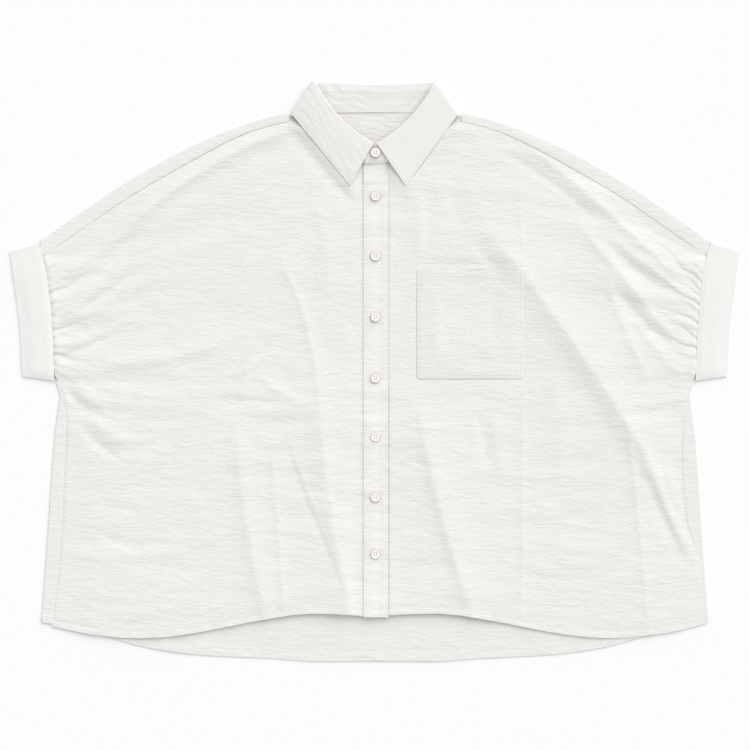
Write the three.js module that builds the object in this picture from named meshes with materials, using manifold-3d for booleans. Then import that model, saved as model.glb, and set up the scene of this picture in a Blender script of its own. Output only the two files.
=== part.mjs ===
import * as THREE from "three";
import { mergeVertices } from "three/addons/utils/BufferGeometryUtils.js";
import Module from "manifold-3d";

// A wide short-sleeved blouse that lies face up on a flat surface, buttoned to the neck.
// Millimetres. +X is the wearer's left, +Y runs from the hem to the collar and +Z is up.
// The origin is on the surface, under the middle of the blouse's outline.
// Fronts and back are cut in one with the sleeves. The back turns over the shoulders and the sides,
// so its seams with the fronts show on the front. Every piece is a wall of cloth of its own.

const CLOTH = 1.0; // one layer of cloth
const CUFF_CLOTH = 1.5; // a cuff's doubled cloth
const GAP = 0.3; // between two pieces, at a seam or one on the other
const LAYER = CLOTH + GAP; // from the middle of one layer to the middle of the next
const TURN = 0.8; // radius of the back's turned edge, to the middle of the cloth
const CUFF_TURN = { seam: 1.3, opening: 0.93 }; // radius of a cuff's turned edges
const FLOOR_Z = CLOTH / 2; // middle of the layer that lies on the surface
const FRONT_Z = FLOOR_Z + 2 * TURN; // middle of the upper layer, at its seams
const LOFT = { height: 1.7, reach: 60 }; // how the upper layer rises from there
const HEM_RISE = { height: 1.5, halfWidth: 130, reach: 70 }; // at the centre of the front hem
const UNDERARM_Y = -10.5; // where the side's turned edge meets the cuff

// The side, from the hem to the underarm: its turned edge, and the seam on each side of the body.
const SIDE = [
  { y: -290, fold: 383.9, right: 371.4, left: 381.2 },
  { y: -236, fold: 379.6, right: 364.0, left: 377.0 },
  { y: -221, fold: 378.5, right: 362.6, left: 375.4 },
  { y: -199, fold: 377.0, right: 361.0, left: 366.5 },
  { y: -176, fold: 375.4, right: 359.5, left: 358.8 },
  { y: -136, fold: 372.8, right: 357.5, left: 354.0 },
  { y: -87, fold: 369.3, right: 355.6, left: 352.8 },
  { y: -54, fold: 365.9, right: 354.8, left: 354.6 },
  { y: -40, fold: 363.3, right: 355.8, left: 356.8 },
  { y: -28, fold: 361.6, right: 358.6, left: 358.6 },
  { y: UNDERARM_Y, fold: 367.3, right: 364.9, left: 364.9 },
];

// The seam that joins a cuff to the body, from the underarm to the shoulder.
const CUFF_SEAM = [
  { y: -3, x: 368.4 },
  { y: 22, x: 369.3 },
  { y: 45, x: 370.2 },
  { y: 63, x: 371.4 },
  { y: 81, x: 373.1 },
  { y: 110, x: 376.5 },
  { y: 132.5, x: 381.2 },
  { y: 148.5, x: 386.0 },
];

const CUFF_MIN_X = 368.6; // where a cuff begins, below the underarm

const CUFF_OPENING = [
  { y: -5.5, x: 404.6 },
  { y: 4, x: 406.0 },
  { y: 34, x: 407.2 },
  { y: 57, x: 409.0 },
  { y: 81, x: 411.9 },
  { y: 110, x: 416.0 },
  { y: 138, x: 420.1 },
];

const SHOULDER_FOLD = [
  { x: 100, y: 297.0 },
  { x: 109, y: 296.0 },
  { x: 141, y: 287.0 },
  { x: 168, y: 277.7 },
  { x: 220, y: 254.7 },
  { x: 262, y: 231.7 },
  { x: 318, y: 197.2 },
  { x: 386, y: 148.6 },
];

// The fronts' upper edge: the neckline under the collar, then the shoulder seam.
const FRONT_TOP = [
  { x: 15.8, y: 241 },
  { x: 34, y: 252 },
  { x: 54, y: 270 },
  { x: 70, y: 284 },
  { x: 80, y: 290 },
  { x: 88, y: 289.6 },
  { x: 97, y: 287.2 },
  { x: 100, y: 286.5 },
  { x: 131, y: 279.5 },
  { x: 165, y: 266 },
  { x: 198, y: 248.5 },
  { x: 232, y: 230 },
  { x: 266, y: 210.5 },
  { x: 300, y: 189 },
  { x: 328, y: 169.5 },
  { x: 381, y: 132.5 },
];

const BACK_NECK = [
  { x: 0, y: 301 },
  { x: 60, y: 301 },
  { x: 80, y: 299 },
  { x: 88, y: 291.5 },
  { x: 96, y: 291 },
  { x: 100, y: 295 },
];

const FRONT_HEM = [
  { x: 0, y: -281 },
  { x: 48, y: -278.5 },
  { x: 86, y: -278.7 },
  { x: 140, y: -287.5 },
  { x: 180, y: -295.5 },
  { x: 215, y: -302 },
  { x: 262, y: -306.7 },
  { x: 310, y: -304.5 },
  { x: 353, y: -297 },
  { x: 384, y: -289 },
];

const BACK_HEM = [
  { x: 0, y: -332.6 },
  { x: 75, y: -333.2 },
  { x: 121, y: -329.8 },
  { x: 195, y: -326.5 },
  { x: 236, y: -322 },
  { x: 270, y: -316 },
  { x: 300, y: -307.5 },
  { x: 330, y: -300 },
  { x: 384, y: -288.5 },
];

// Folds and creases of the fronts: a curved path, its half width, and how far it stands up.
const FOLDS = [
  { x0: 98, y0: 197, x1: 234, y1: 48, x2: 355, y2: -171, width: 17, height: 5.2 },
  { x0: 176, y0: 60, x1: 238, y1: -14, x2: 290, y2: -84, width: 17, height: -1.8 },
  { x0: 176, y0: 238, x1: 255, y1: 160, x2: 362, y2: 84, width: 10, height: 3.2 },
  { x0: 232, y0: 176, x1: 305, y1: 100, x2: 360, y2: 34, width: 9, height: 3.2 },
  { x0: 268, y0: 84, x1: 312, y1: 25, x2: 325, y2: -34, width: 11, height: 2.2 },
  { x0: 169, y0: -14, x1: 170, y1: -140, x2: 170, y2: -292, width: 4, height: 1.2 },
  { x0: 279, y0: -30, x1: 303, y1: -140, x2: 316, y2: -292, width: 5, height: 1.8 },
  { x0: 300, y0: -67, x1: 337, y1: -175, x2: 372, y2: -224, width: 10, height: 3.0 },
  { x0: 49, y0: -30, x1: 64, y1: -150, x2: 112, y2: -275, width: 15, height: 3.6 },
  { x0: 118, y0: -27, x1: 127, y1: -70, x2: 130, y2: -118, width: 11, height: 1.6 },
  { x0: 58, y0: 210, x1: 50, y1: 160, x2: 52, y2: 120, width: 12, height: 1.4 },
  { x0: -73, y0: -30, x1: -66, y1: -150, x2: -27, y2: -282, width: 15, height: 4.2 },
  { x0: -158, y0: -50, x1: -153, y1: -165, x2: -126, y2: -276, width: 11, height: 2.6 },
  { x0: -121, y0: -66, x1: -113, y1: -170, x2: -106, y2: -284, width: 5, height: 1.6 },
  { x0: -112, y0: 128, x1: -96, y1: 96, x2: -82, y2: 62, width: 7, height: 1.6 },
  { x0: -96, y0: 270, x1: -226, y1: 236, x2: -318, y2: 124, width: 13, height: 2.4 },
  { x0: -369, y0: 92, x1: -326, y1: 112, x2: -274, y2: 162, width: 8, height: 2.8 },
  { x0: -356, y0: -22, x1: -334, y1: -42, x2: -314, y2: -64, width: 8, height: 2.4 },
  { x0: -338, y0: -68, x1: -312, y1: -90, x2: -284, y2: -104, width: 10, height: 2.0 },
  { x0: -278, y0: -140, x1: -250, y1: -116, x2: -222, y2: -84, width: 12, height: 1.8 },
  { x0: -326, y0: -156, x1: -270, y1: -186, x2: -216, y2: -208, width: 12, height: 1.8 },
  { x0: -364, y0: -2, x1: -258, y1: 4, x2: -155, y2: 40, width: 15, height: 2.4 },
  { x0: -144, y0: 0, x1: -116, y1: -24, x2: -86, y2: -48, width: 9, height: 1.5 },
];

// Gathers: creases that start at a cuff's seam, how deep and how far in they run, and how they lean.
const GATHERS = {
  right: [
    { y: 124, depth: 1.1, reach: 16, lean: 0.55 },
    { y: 115, depth: 1.4, reach: 22, lean: 0.5 },
    { y: 107, depth: 1.0, reach: 12, lean: 0.3 },
    { y: 98, depth: 1.1, reach: 14, lean: 0.35 },
    { y: 88, depth: 2.0, reach: 40, lean: 0.42 },
    { y: 78, depth: 1.4, reach: 20, lean: 0.25 },
    { y: 64, depth: 1.7, reach: 20, lean: 0.6 },
    { y: 49, depth: 1.9, reach: 24, lean: 0.1 },
    { y: 39, depth: 1.3, reach: 16, lean: 0.05 },
    { y: 30, depth: 1.2, reach: 14, lean: -0.15 },
    { y: 21, depth: 2.0, reach: 26, lean: -0.2 },
    { y: 11, depth: 1.5, reach: 20, lean: -0.55 },
    { y: 2, depth: 1.3, reach: 18, lean: -0.8 },
  ],
  left: [
    { y: 124, depth: 0.9, reach: 12, lean: 0.35 },
    { y: 113, depth: 1.2, reach: 18, lean: 0.4 },
    { y: 103, depth: 1.8, reach: 34, lean: 0.75 },
    { y: 94, depth: 1.3, reach: 18, lean: 0.6 },
    { y: 87, depth: 1.2, reach: 16, lean: 0.5 },
    { y: 78, depth: 2.0, reach: 36, lean: 0.55 },
    { y: 69, depth: 1.3, reach: 18, lean: 0.4 },
    { y: 57, depth: 1.9, reach: 32, lean: 0.3 },
    { y: 47, depth: 1.3, reach: 18, lean: 0.45 },
    { y: 38, depth: 1.5, reach: 22, lean: 0.6 },
    { y: 28, depth: 2.0, reach: 28, lean: 0.35 },
    { y: 17, depth: 1.4, reach: 20, lean: 0.1 },
    { y: 4, depth: 1.2, reach: 16, lean: -0.5 },
  ],
};
const GATHER_WIDTH = 3.2; // half width of a crease at the seam
const GATHER_PUFF = 1.3; // how far the gathered cloth stands up at the seam
const GATHER_PUFF_REACH = 32;

// The band over the centre front, and the pocket.
const PLACKET = { x0: -13.2, x1: 15.5, hem: -282.2 };
const POCKET = { x0: 48.3, x1: 170.2, y0: -8.4, y1: 116.4, corner: 4.6 };
const UNDERLAP_X = 13; // edge of the right front, under the band

const BUTTON = { radius: 5.75, height: 2.4, hole: 0.85, spread: 1.45 };
const BUTTON_SIDES = 16;
const BUTTON_X = 0.6;
const BUTTON_YS = [251.3, 201.8, 132.8, 62.7, -7.5, -75.3, -144.3, -209.9];

// A collar half for the wearer's left. The right half is mirrored, apart from the tip.
const COLLAR = {
  meet: { x: 2.6, y: 261.2 }, // the roll at the centre front
  tip: { right: { x: 28.5, y: 213.8 }, left: { x: 35.2, y: 213.8 } },
  foldTop: { x: 72.2, y: 333.3 }, // the turned edge at the side of the neck
  foldFoot: { x: 97, y: 295.5 },
  rollBack: 330.6, // y of the roll at the centre back
  edgeBack: 286, // y of the fall's edge below the back
  cornerRise: 2.4, // how much higher the roll starts beside its corner than at the centre back
  bow: 7, // how far the roll curves out between the centre front and the side
  // The middle of the cloth at the tip, and on both layers of the turned edge.
  tipHeight: 7.2,
  over: { edge: 10.5, roll: 13.5, inner: 11, neck: 6.4 },
  seamShare: 0.66, // of the way from the neck seam to the roll, where stand and fall are sewn
};
const STAND_NECK = [
  { x: 0, y: 238 },
  { x: 30, y: 245.5 },
  { x: 56, y: 266.5 },
  { x: 77, y: 284 },
];
const STAND_LAP = 12; // how far each end of the stand runs past the centre front

// A smooth curve through a table's rows, as a function of one of its columns.
function through(table, by, to) {
  const rows = [...table].sort((a, b) => a[by] - b[by]);
  const rise = (a, b) => (b[to] - a[to]) / (b[by] - a[by]);
  const slope = rows.map((row, i) =>
    rise(rows[Math.max(i - 1, 0)], rows[Math.min(i + 1, rows.length - 1)]),
  );
  return (at) => {
    let i = rows.findIndex((row) => row[by] > at) - 1;
    if (at <= rows[0][by]) return rows[0][to] + slope[0] * (at - rows[0][by]);
    if (i < 0) {
      const last = rows.length - 1;
      return rows[last][to] + slope[last] * (at - rows[last][by]);
    }
    const step = rows[i + 1][by] - rows[i][by];
    const t = (at - rows[i][by]) / step;
    const h = t * t * (3 - 2 * t);
    return (
      rows[i][to] * (1 - h) +
      rows[i + 1][to] * h +
      step * t * (1 - t) * (slope[i] * (1 - t) - slope[i + 1] * t)
    );
  };
}

const smooth = (t) => {
  const s = Math.min(Math.max(t, 0), 1);
  return s * s * (3 - 2 * s);
};
const mix = (a, b, t) => a + (b - a) * t;
const steps = (a, b, n) => Array.from({ length: n + 1 }, (_, i) => mix(a, b, i / n));

const sideFold = through(SIDE, "y", "fold");
const shoulderFold = through(SHOULDER_FOLD, "x", "y");
const frontTop = through(FRONT_TOP, "x", "y");
const backNeck = through(BACK_NECK, "x", "y");
const frontHem = through(FRONT_HEM, "x", "y");
const backHem = through(BACK_HEM, "x", "y");
const cuffOpening = through(CUFF_OPENING, "y", "x");

// The outer edge of a front, and of the layer of the back that lies below it.
const frontEdge = {};
for (const side of ["right", "left"]) {
  const rows = [...SIDE.map((row) => ({ y: row.y, x: row[side] })), ...CUFF_SEAM];
  frontEdge[side] = through(rows, "y", "x");
}
const backEdge = through(
  [...SIDE.map((row) => ({ y: row.y, x: row.fold - TURN })), ...CUFF_SEAM],
  "y",
  "x",
);

const cuffEdge = (y) => Math.max(frontEdge.left(y), backEdge(y), CUFF_MIN_X) + GAP;

// How much the layers lie higher near the neck, where the collar's fall is below the back.
function collarLift(x, y) {
  return LAYER * smooth((y - 262) / 18) * smooth((128 - Math.abs(x)) / 26);
}

function foldHeight(fold, x, y) {
  const count = 12;
  let nearest = Infinity;
  let along = 0;
  let ax = fold.x0;
  let ay = fold.y0;
  for (let i = 1; i <= count; i += 1) {
    const t = i / count;
    const bx = (1 - t) ** 2 * fold.x0 + 2 * t * (1 - t) * fold.x1 + t * t * fold.x2;
    const by = (1 - t) ** 2 * fold.y0 + 2 * t * (1 - t) * fold.y1 + t * t * fold.y2;
    const share = ((x - ax) * (bx - ax) + (y - ay) * (by - ay)) / ((bx - ax) ** 2 + (by - ay) ** 2);
    const s = Math.min(Math.max(share, 0), 1);
    const away = Math.hypot(x - mix(ax, bx, s), y - mix(ay, by, s));
    if (away < nearest) {
      nearest = away;
      along = (i - 1 + s) / count;
    }
    ax = bx;
    ay = by;
  }
  const fade = smooth(along / 0.25) * smooth((1 - along) / 0.25);
  return fold.height * fade * Math.exp(-((nearest / fold.width) ** 2));
}

function gatherHeight(side, x, y) {
  const inside = Math.max(frontEdge[side](y) - Math.abs(x), 0);
  const zone = smooth((y - UNDERARM_Y + 4) / 14) * smooth((136 - y) / 12);
  let height = GATHER_PUFF * zone * Math.exp(-inside / GATHER_PUFF_REACH);
  for (const crease of GATHERS[side]) {
    const width = GATHER_WIDTH * (1 + inside / 30);
    const off = (y - crease.y - crease.lean * inside) / width;
    height -= crease.depth * Math.exp(-off * off) * Math.exp(-inside / crease.reach);
  }
  return height;
}

// The middle of the upper layer. The right front runs on below the band, so it lies lower there.
function frontHeight(side, x, y) {
  const out = Math.abs(x);
  const band = side === "right" ? -0.8 * smooth((x + 34) / 20) : 0.5 * smooth((36 - x) / 20);
  const above = y - frontHem(out);
  const centre = Math.exp(-((x / HEM_RISE.halfWidth) ** 2));
  const hem =
    HEM_RISE.height * centre * smooth(1 - above / HEM_RISE.reach) -
    0.8 * (1 - centre) * smooth(1 - above / 26);
  const inside = Math.min(frontEdge[side](y) - out, 0.8 * (frontTop(out) - y));
  const loft = LOFT.height * smooth(inside / LOFT.reach);
  const folds = FOLDS.filter((fold) => fold.x0 > 0 === (side === "left"));
  const calm = smooth((out - 14) / 22);
  const raised = folds.reduce((sum, fold) => sum + foldHeight(fold, x, y), 0);
  const base = FRONT_Z + loft + band + hem + calm * raised + gatherHeight(side, x, y);
  return Math.max(base, FLOOR_Z + LAYER + 0.2) + collarLift(x, y);
}

// An open sheet: the middle of the cloth, as points and triangles.
class Sheet {
  points = [];
  faces = [];

  add(x, y, z) {
    this.points.push(new THREE.Vector3(x, y, z));
    return this.points.length - 1;
  }

  // Fills the strip between two columns of { i, at }, where "at" grows along both of them.
  zip(a, b) {
    let m = 0;
    let n = 0;
    while (m < a.length - 1 || n < b.length - 1) {
      const stepA = n === b.length - 1 || (m < a.length - 1 && a[m + 1].at <= b[n + 1].at);
      if (stepA) this.faces.push([a[m].i, b[n].i, a[(m += 1)].i]);
      else this.faces.push([a[m].i, b[n].i, b[(n += 1)].i]);
    }
  }

  zipAll(columns) {
    columns.slice(1).forEach((column, k) => this.zip(columns[k], column));
  }

  normals() {
    const sums = this.points.map(() => new THREE.Vector3());
    const edge = new THREE.Vector3();
    const other = new THREE.Vector3();
    for (const [a, b, c] of this.faces) {
      edge.subVectors(this.points[b], this.points[a]);
      other.subVectors(this.points[c], this.points[a]);
      edge.cross(other);
      [a, b, c].forEach((i) => sums[i].add(edge));
    }
    return sums.map((sum) => sum.normalize());
  }

  // The sheet as a closed wall of cloth.
  thicken(thickness) {
    const count = this.points.length;
    const normals = this.normals();
    const place = (share) => (p, i) => p.clone().addScaledVector(normals[i], share * thickness);
    const all = [...this.points.map(place(0.5)), ...this.points.map(place(-0.5))];
    const index = [];
    const uses = new Map();
    for (const [a, b, c] of this.faces) {
      index.push(a, b, c, c + count, b + count, a + count);
      for (const [from, to] of [[a, b], [b, c], [c, a]]) {
        const back = `${to} ${from}`;
        if (uses.has(back)) uses.delete(back);
        else uses.set(`${from} ${to}`, [from, to]);
      }
    }
    for (const [from, to] of uses.values())
      index.push(from + count, to + count, to, from + count, to, from);
    const geometry = new THREE.BufferGeometry().setFromPoints(all);
    geometry.setIndex(index);
    geometry.computeVertexNormals();
    return geometry;
  }
}

// Where the columns of a front cross it: fixed places first, then distances from the outer edge.
// On the left front there are more of them at the pocket's corners.
const CORNER_STEPS = [POCKET.corner * 0.3, POCKET.corner];
const PLAIN_COLUMNS = steps(POCKET.x0, POCKET.x1, 5);
const POCKET_COLUMNS = [
  ...PLAIN_COLUMNS,
  ...CORNER_STEPS.map((step) => POCKET.x0 + step),
  ...CORNER_STEPS.map((step) => POCKET.x1 - step),
].sort((a, b) => a - b);
const OUTER_COLUMNS = [195, 220, 245, 270, 294];
const COLUMNS = {
  right: [32, ...PLAIN_COLUMNS, ...OUTER_COLUMNS],
  left: [PLACKET.x1 + GAP, 32, ...POCKET_COLUMNS, ...OUTER_COLUMNS],
};
const BAND_COLUMNS = [PLACKET.x0, -5, 4, UNDERLAP_X];
const EDGE_COLUMNS = [
  { inside: 44, pitch: 6.8 },
  { inside: 25, pitch: 3.4 },
  { inside: 12, pitch: 3.4 },
  { inside: 4.5, pitch: 3.4 },
  { inside: 0, pitch: 3.4 },
];

// Heights at which the columns have a point. The pocket's edges are among them.
const POCKET_LEVELS = steps(POCKET.y0, POCKET.y1, 6);
const PITCH = POCKET_LEVELS[1] - POCKET_LEVELS[0];
const LEVELS = [
  ...steps(POCKET.y0 - 13 * PITCH, POCKET.y0 - PITCH, 12),
  ...POCKET_LEVELS,
  ...steps(POCKET.y1 + PITCH, POCKET.y1 + 8 * PITCH, 7),
];

// The levels between the two ends of a column, with both ends.
function levelsBetween(low, high, levels = LEVELS) {
  const clear = 4;
  return [low, ...levels.filter((y) => y > low + clear && y < high - clear), high];
}

// The height at which a column that keeps its distance from the edge meets a line over the body.
function meets(edge, inside, line) {
  let y = 130;
  for (let i = 0; i < 30; i += 1) y = mix(y, line(edge(y) - inside), 0.5);
  return y;
}

function frontColumns(side) {
  const edge = frontEdge[side];
  const plain = COLUMNS[side].map((x) => ({
    place: () => x,
    levels: levelsBetween(frontHem(x), frontTop(x)),
  }));
  const bySeam = EDGE_COLUMNS.map(({ inside, pitch }) => {
    const place = (y) => edge(y) - inside;
    const low = frontHem(place(-290));
    const high = meets(edge, inside, frontTop);
    const start = UNDERARM_Y;
    const cuffLevels = steps(start, 129, Math.round((129 - start) / pitch));
    const sideLevels = LEVELS.filter((y) => y < start - 8 && y > low);
    const underarm = [-28, ...cuffLevels];
    const levels = [...sideLevels.filter((y) => y < -34), ...underarm];
    return { place, levels: levelsBetween(low, high, levels) };
  });
  return [...plain, ...bySeam];
}

function makeFront(side) {
  const sign = side === "right" ? -1 : 1;
  const sheet = new Sheet();
  const column = ({ place, levels }) =>
    levels.map((y) => {
      const x = sign * place(y);
      return { i: sheet.add(x, y, frontHeight(side, x, y)), at: y };
    });
  let columns = frontColumns(side).map(column);
  if (side === "right") {
    const band = BAND_COLUMNS.map((x) => ({
      place: () => -x,
      levels: levelsBetween(frontHem(0), FRONT_TOP[0].y),
    }));
    columns = [...columns.reverse(), ...band.map(column)];
  }
  sheet.zipAll(columns);
  return sheet.thicken(CLOTH);
}

function makePlacket() {
  const sheet = new Sheet();
  const columns = [...BAND_COLUMNS, PLACKET.x1].map((x) =>
    levelsBetween(PLACKET.hem, FRONT_TOP[0].y).map((y) => {
      const over = frontHeight("right", Math.min(x, UNDERLAP_X), Math.max(y, frontHem(0)));
      return { i: sheet.add(x, y, over + LAYER), at: y };
    }),
  );
  sheet.zipAll(columns);
  return sheet.thicken(CLOTH);
}

// The pocket repeats the front's own points, moved out by one layer. Its lower corners are rounded.
function makePocket() {
  const sheet = new Sheet();
  const reach = 1;
  const columns = POCKET_COLUMNS.map((x) => {
    const within = Math.min(x - POCKET.x0, POCKET.x1 - x, POCKET.corner);
    const rise = POCKET.corner - Math.sqrt(POCKET.corner ** 2 - (POCKET.corner - within) ** 2);
    return [POCKET.y0 + rise, ...POCKET_LEVELS.slice(1)].map((y) => {
      const height = (dx, dy) => frontHeight("left", x + dx, y + dy);
      const normal = new THREE.Vector3(
        height(-reach, 0) - height(reach, 0),
        height(0, -reach) - height(0, reach),
        2 * reach,
      ).normalize();
      const point = new THREE.Vector3(x, y, height(0, 0)).addScaledVector(normal, LAYER + 0.05);
      return { i: sheet.add(point.x, point.y, point.z), at: y };
    });
  });
  sheet.zipAll(columns);
  return sheet.thicken(CLOTH);
}

const TURN_ANGLES = [45, 90, 135, 180].map(THREE.MathUtils.degToRad);

// The back: one layer on the surface, turned over both shoulders and both sides as far as the seams.
function makeBack() {
  const sheet = new Sheet();
  const floor = (x, y) => FLOOR_Z + collarLift(x, y);
  const lean = (x) => Math.hypot(1, (shoulderFold(x + 1) - shoulderFold(x - 1)) / 2);
  const foldCentre = (x) => shoulderFold(x) - TURN * lean(x);
  const neckColumns = [0, 30, 60, 80, 88, 96].map((x) => ({ x, top: backNeck(x) }));
  const plain = [100, ...POCKET_COLUMNS.filter((x) => x > 100), ...OUTER_COLUMNS];
  const coarse = [-240, -170, -95, -28, UNDERARM_Y, 60, 100, 150, 200, 240, 262, 271, 280];
  const sideLevels = [...LEVELS.filter((y) => y < -34), -28, UNDERARM_Y];

  const half = (sign) => {
    const list = neckColumns.map(({ x, top }) => ({
      place: () => x,
      low: backHem(x),
      high: top,
      levels: coarse,
    }));
    for (const x of plain)
      list.push({ place: () => x, low: backHem(x), high: foldCentre(x), levels: coarse, turned: true });
    for (const { inside } of EDGE_COLUMNS.filter((row) => row.inside !== 12)) {
      const place = (y) => backEdge(y) - inside;
      const high = meets(backEdge, inside, foldCentre);
      const levels = inside ? coarse : [...sideLevels, ...steps(12, 130, 6)];
      list.push({ place, low: backHem(place(-290)), high, levels, turned: true, inside });
    }
    return list.map((column) => ({
      ...column,
      sign,
      line: levelsBetween(column.low, column.high, column.levels).map((y) => {
        const x = sign * column.place(y);
        return { i: sheet.add(x, y, floor(x, y)), at: y };
      }),
    }));
  };
  const left = half(1);
  const right = half(-1);
  const columns = [...right.slice(1).reverse(), ...left];
  sheet.zipAll(columns.map((column) => column.line));

  // Each turned column goes round the shoulder's edge and back along its own line to the seam.
  const turnShoulder = (list) => {
    const over = list.map((column) => {
      const x = column.place(column.high);
      const base = floor(x, column.high);
      const chain = [{ i: column.line.at(-1).i, at: 0 }];
      for (const angle of TURN_ANGLES) {
        const y = column.high + TURN * lean(x) * Math.sin(angle);
        const z = base + TURN * (1 - Math.cos(angle));
        const across = column.place(column.high + 0.6 * (y - column.high));
        chain.push({ i: sheet.add(column.sign * across, y, z), at: chain.length });
      }
      const end =
        column.inside === undefined ? frontTop(x) : meets(frontEdge.left, column.inside, frontTop);
      const slant = Math.hypot(1, (frontTop(x + 1) - frontTop(x - 1)) / 2);
      const seam = end + GAP * slant;
      for (const share of [0.5, 1]) {
        const y = mix(column.high, seam, share);
        const across = column.place(y);
        const z = base + 2 * TURN;
        chain.push({ i: sheet.add(column.sign * across, y, z), at: chain.length });
      }
      return chain;
    });
    sheet.zipAll(over);
  };
  turnShoulder(left.filter((column) => column.turned));
  turnShoulder(right.filter((column) => column.turned).reverse());

  // The side's turned edge, below the cuff.
  for (const [side, list] of [["left", left], ["right", right]]) {
    const sign = side === "left" ? 1 : -1;
    const start = list.at(-1).line.filter(({ at }) => at <= UNDERARM_Y);
    const shapes = TURN_ANGLES.map((angle) => (y) => ({
      x: backEdge(y) + TURN * Math.sin(angle),
      z: TURN * (1 - Math.cos(angle)),
    }));
    for (const share of [0.5, 1])
      shapes.push((y) => ({ x: mix(backEdge(y), frontEdge[side](y) + GAP, share), z: 2 * TURN }));
    const strips = shapes.map((shape) =>
      start.map(({ at }) => {
        const { x, z } = shape(at);
        return { i: sheet.add(sign * x, at, FLOOR_Z + z), at };
      }),
    );
    const all = [start, ...strips];
    sheet.zipAll(sign > 0 ? all : all.reverse());
  }
  return sheet.thicken(CLOTH);
}

// A cuff is a flattened ring: its upper layer, a turned edge, its lower layer and the other turned edge.
function makeCuff(sign) {
  const sheet = new Sheet();
  const upper = steps(0, 1, 14);
  const lower = steps(1, 0, 6);
  const ends = { top: { seam: 148.2, opening: 138.2 }, foot: { seam: -10.6, opening: -5.6 } };
  const radius = (across) => mix(CUFF_TURN.seam, CUFF_TURN.opening, across);
  const point = (across, down) => {
    const seamY = mix(ends.top.seam - CUFF_TURN.seam, ends.foot.seam + CUFF_TURN.seam, down);
    const openY = mix(
      ends.top.opening - CUFF_TURN.opening,
      ends.foot.opening + CUFF_TURN.opening,
      down,
    );
    return new THREE.Vector2(
      mix(cuffEdge(seamY), cuffOpening(openY), across),
      mix(seamY, openY, across),
    );
  };
  const low = CUFF_CLOTH / 2;
  const rings = [0, 0.5, 1].map((across) => {
    const ring = [];
    const put = (p, z) => ring.push({ i: sheet.add(sign * p.x, p.y, z), at: ring.length });
    const turn = (down, from) => {
      const centre = point(across, down);
      const out = centre.clone().sub(point(across, down ? 0.9 : 0.1)).normalize();
      for (const degrees of [45, 90, 135]) {
        const angle = THREE.MathUtils.degToRad(degrees);
        const p = centre.clone().addScaledVector(out, radius(across) * Math.sin(angle));
        put(p, low + radius(across) * (1 + from * Math.cos(angle)));
      }
    };
    upper.forEach((down) => put(point(across, down), low + 2 * radius(across)));
    turn(1, 1);
    lower.forEach((down) => put(point(across, down), low));
    turn(0, -1);
    ring.push({ i: ring[0].i, at: ring.length });
    return ring;
  });
  // The rings run clockwise for the left cuff as seen from its opening, so the order turns the faces out.
  sheet.zipAll(sign > 0 ? rings.reverse() : rings);
  return sheet.thicken(CUFF_CLOTH);
}

const vector = ({ x, y }) => new THREE.Vector2(x, y);
const lift = (p, z) => new THREE.Vector3(p.x, p.y, z);

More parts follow.
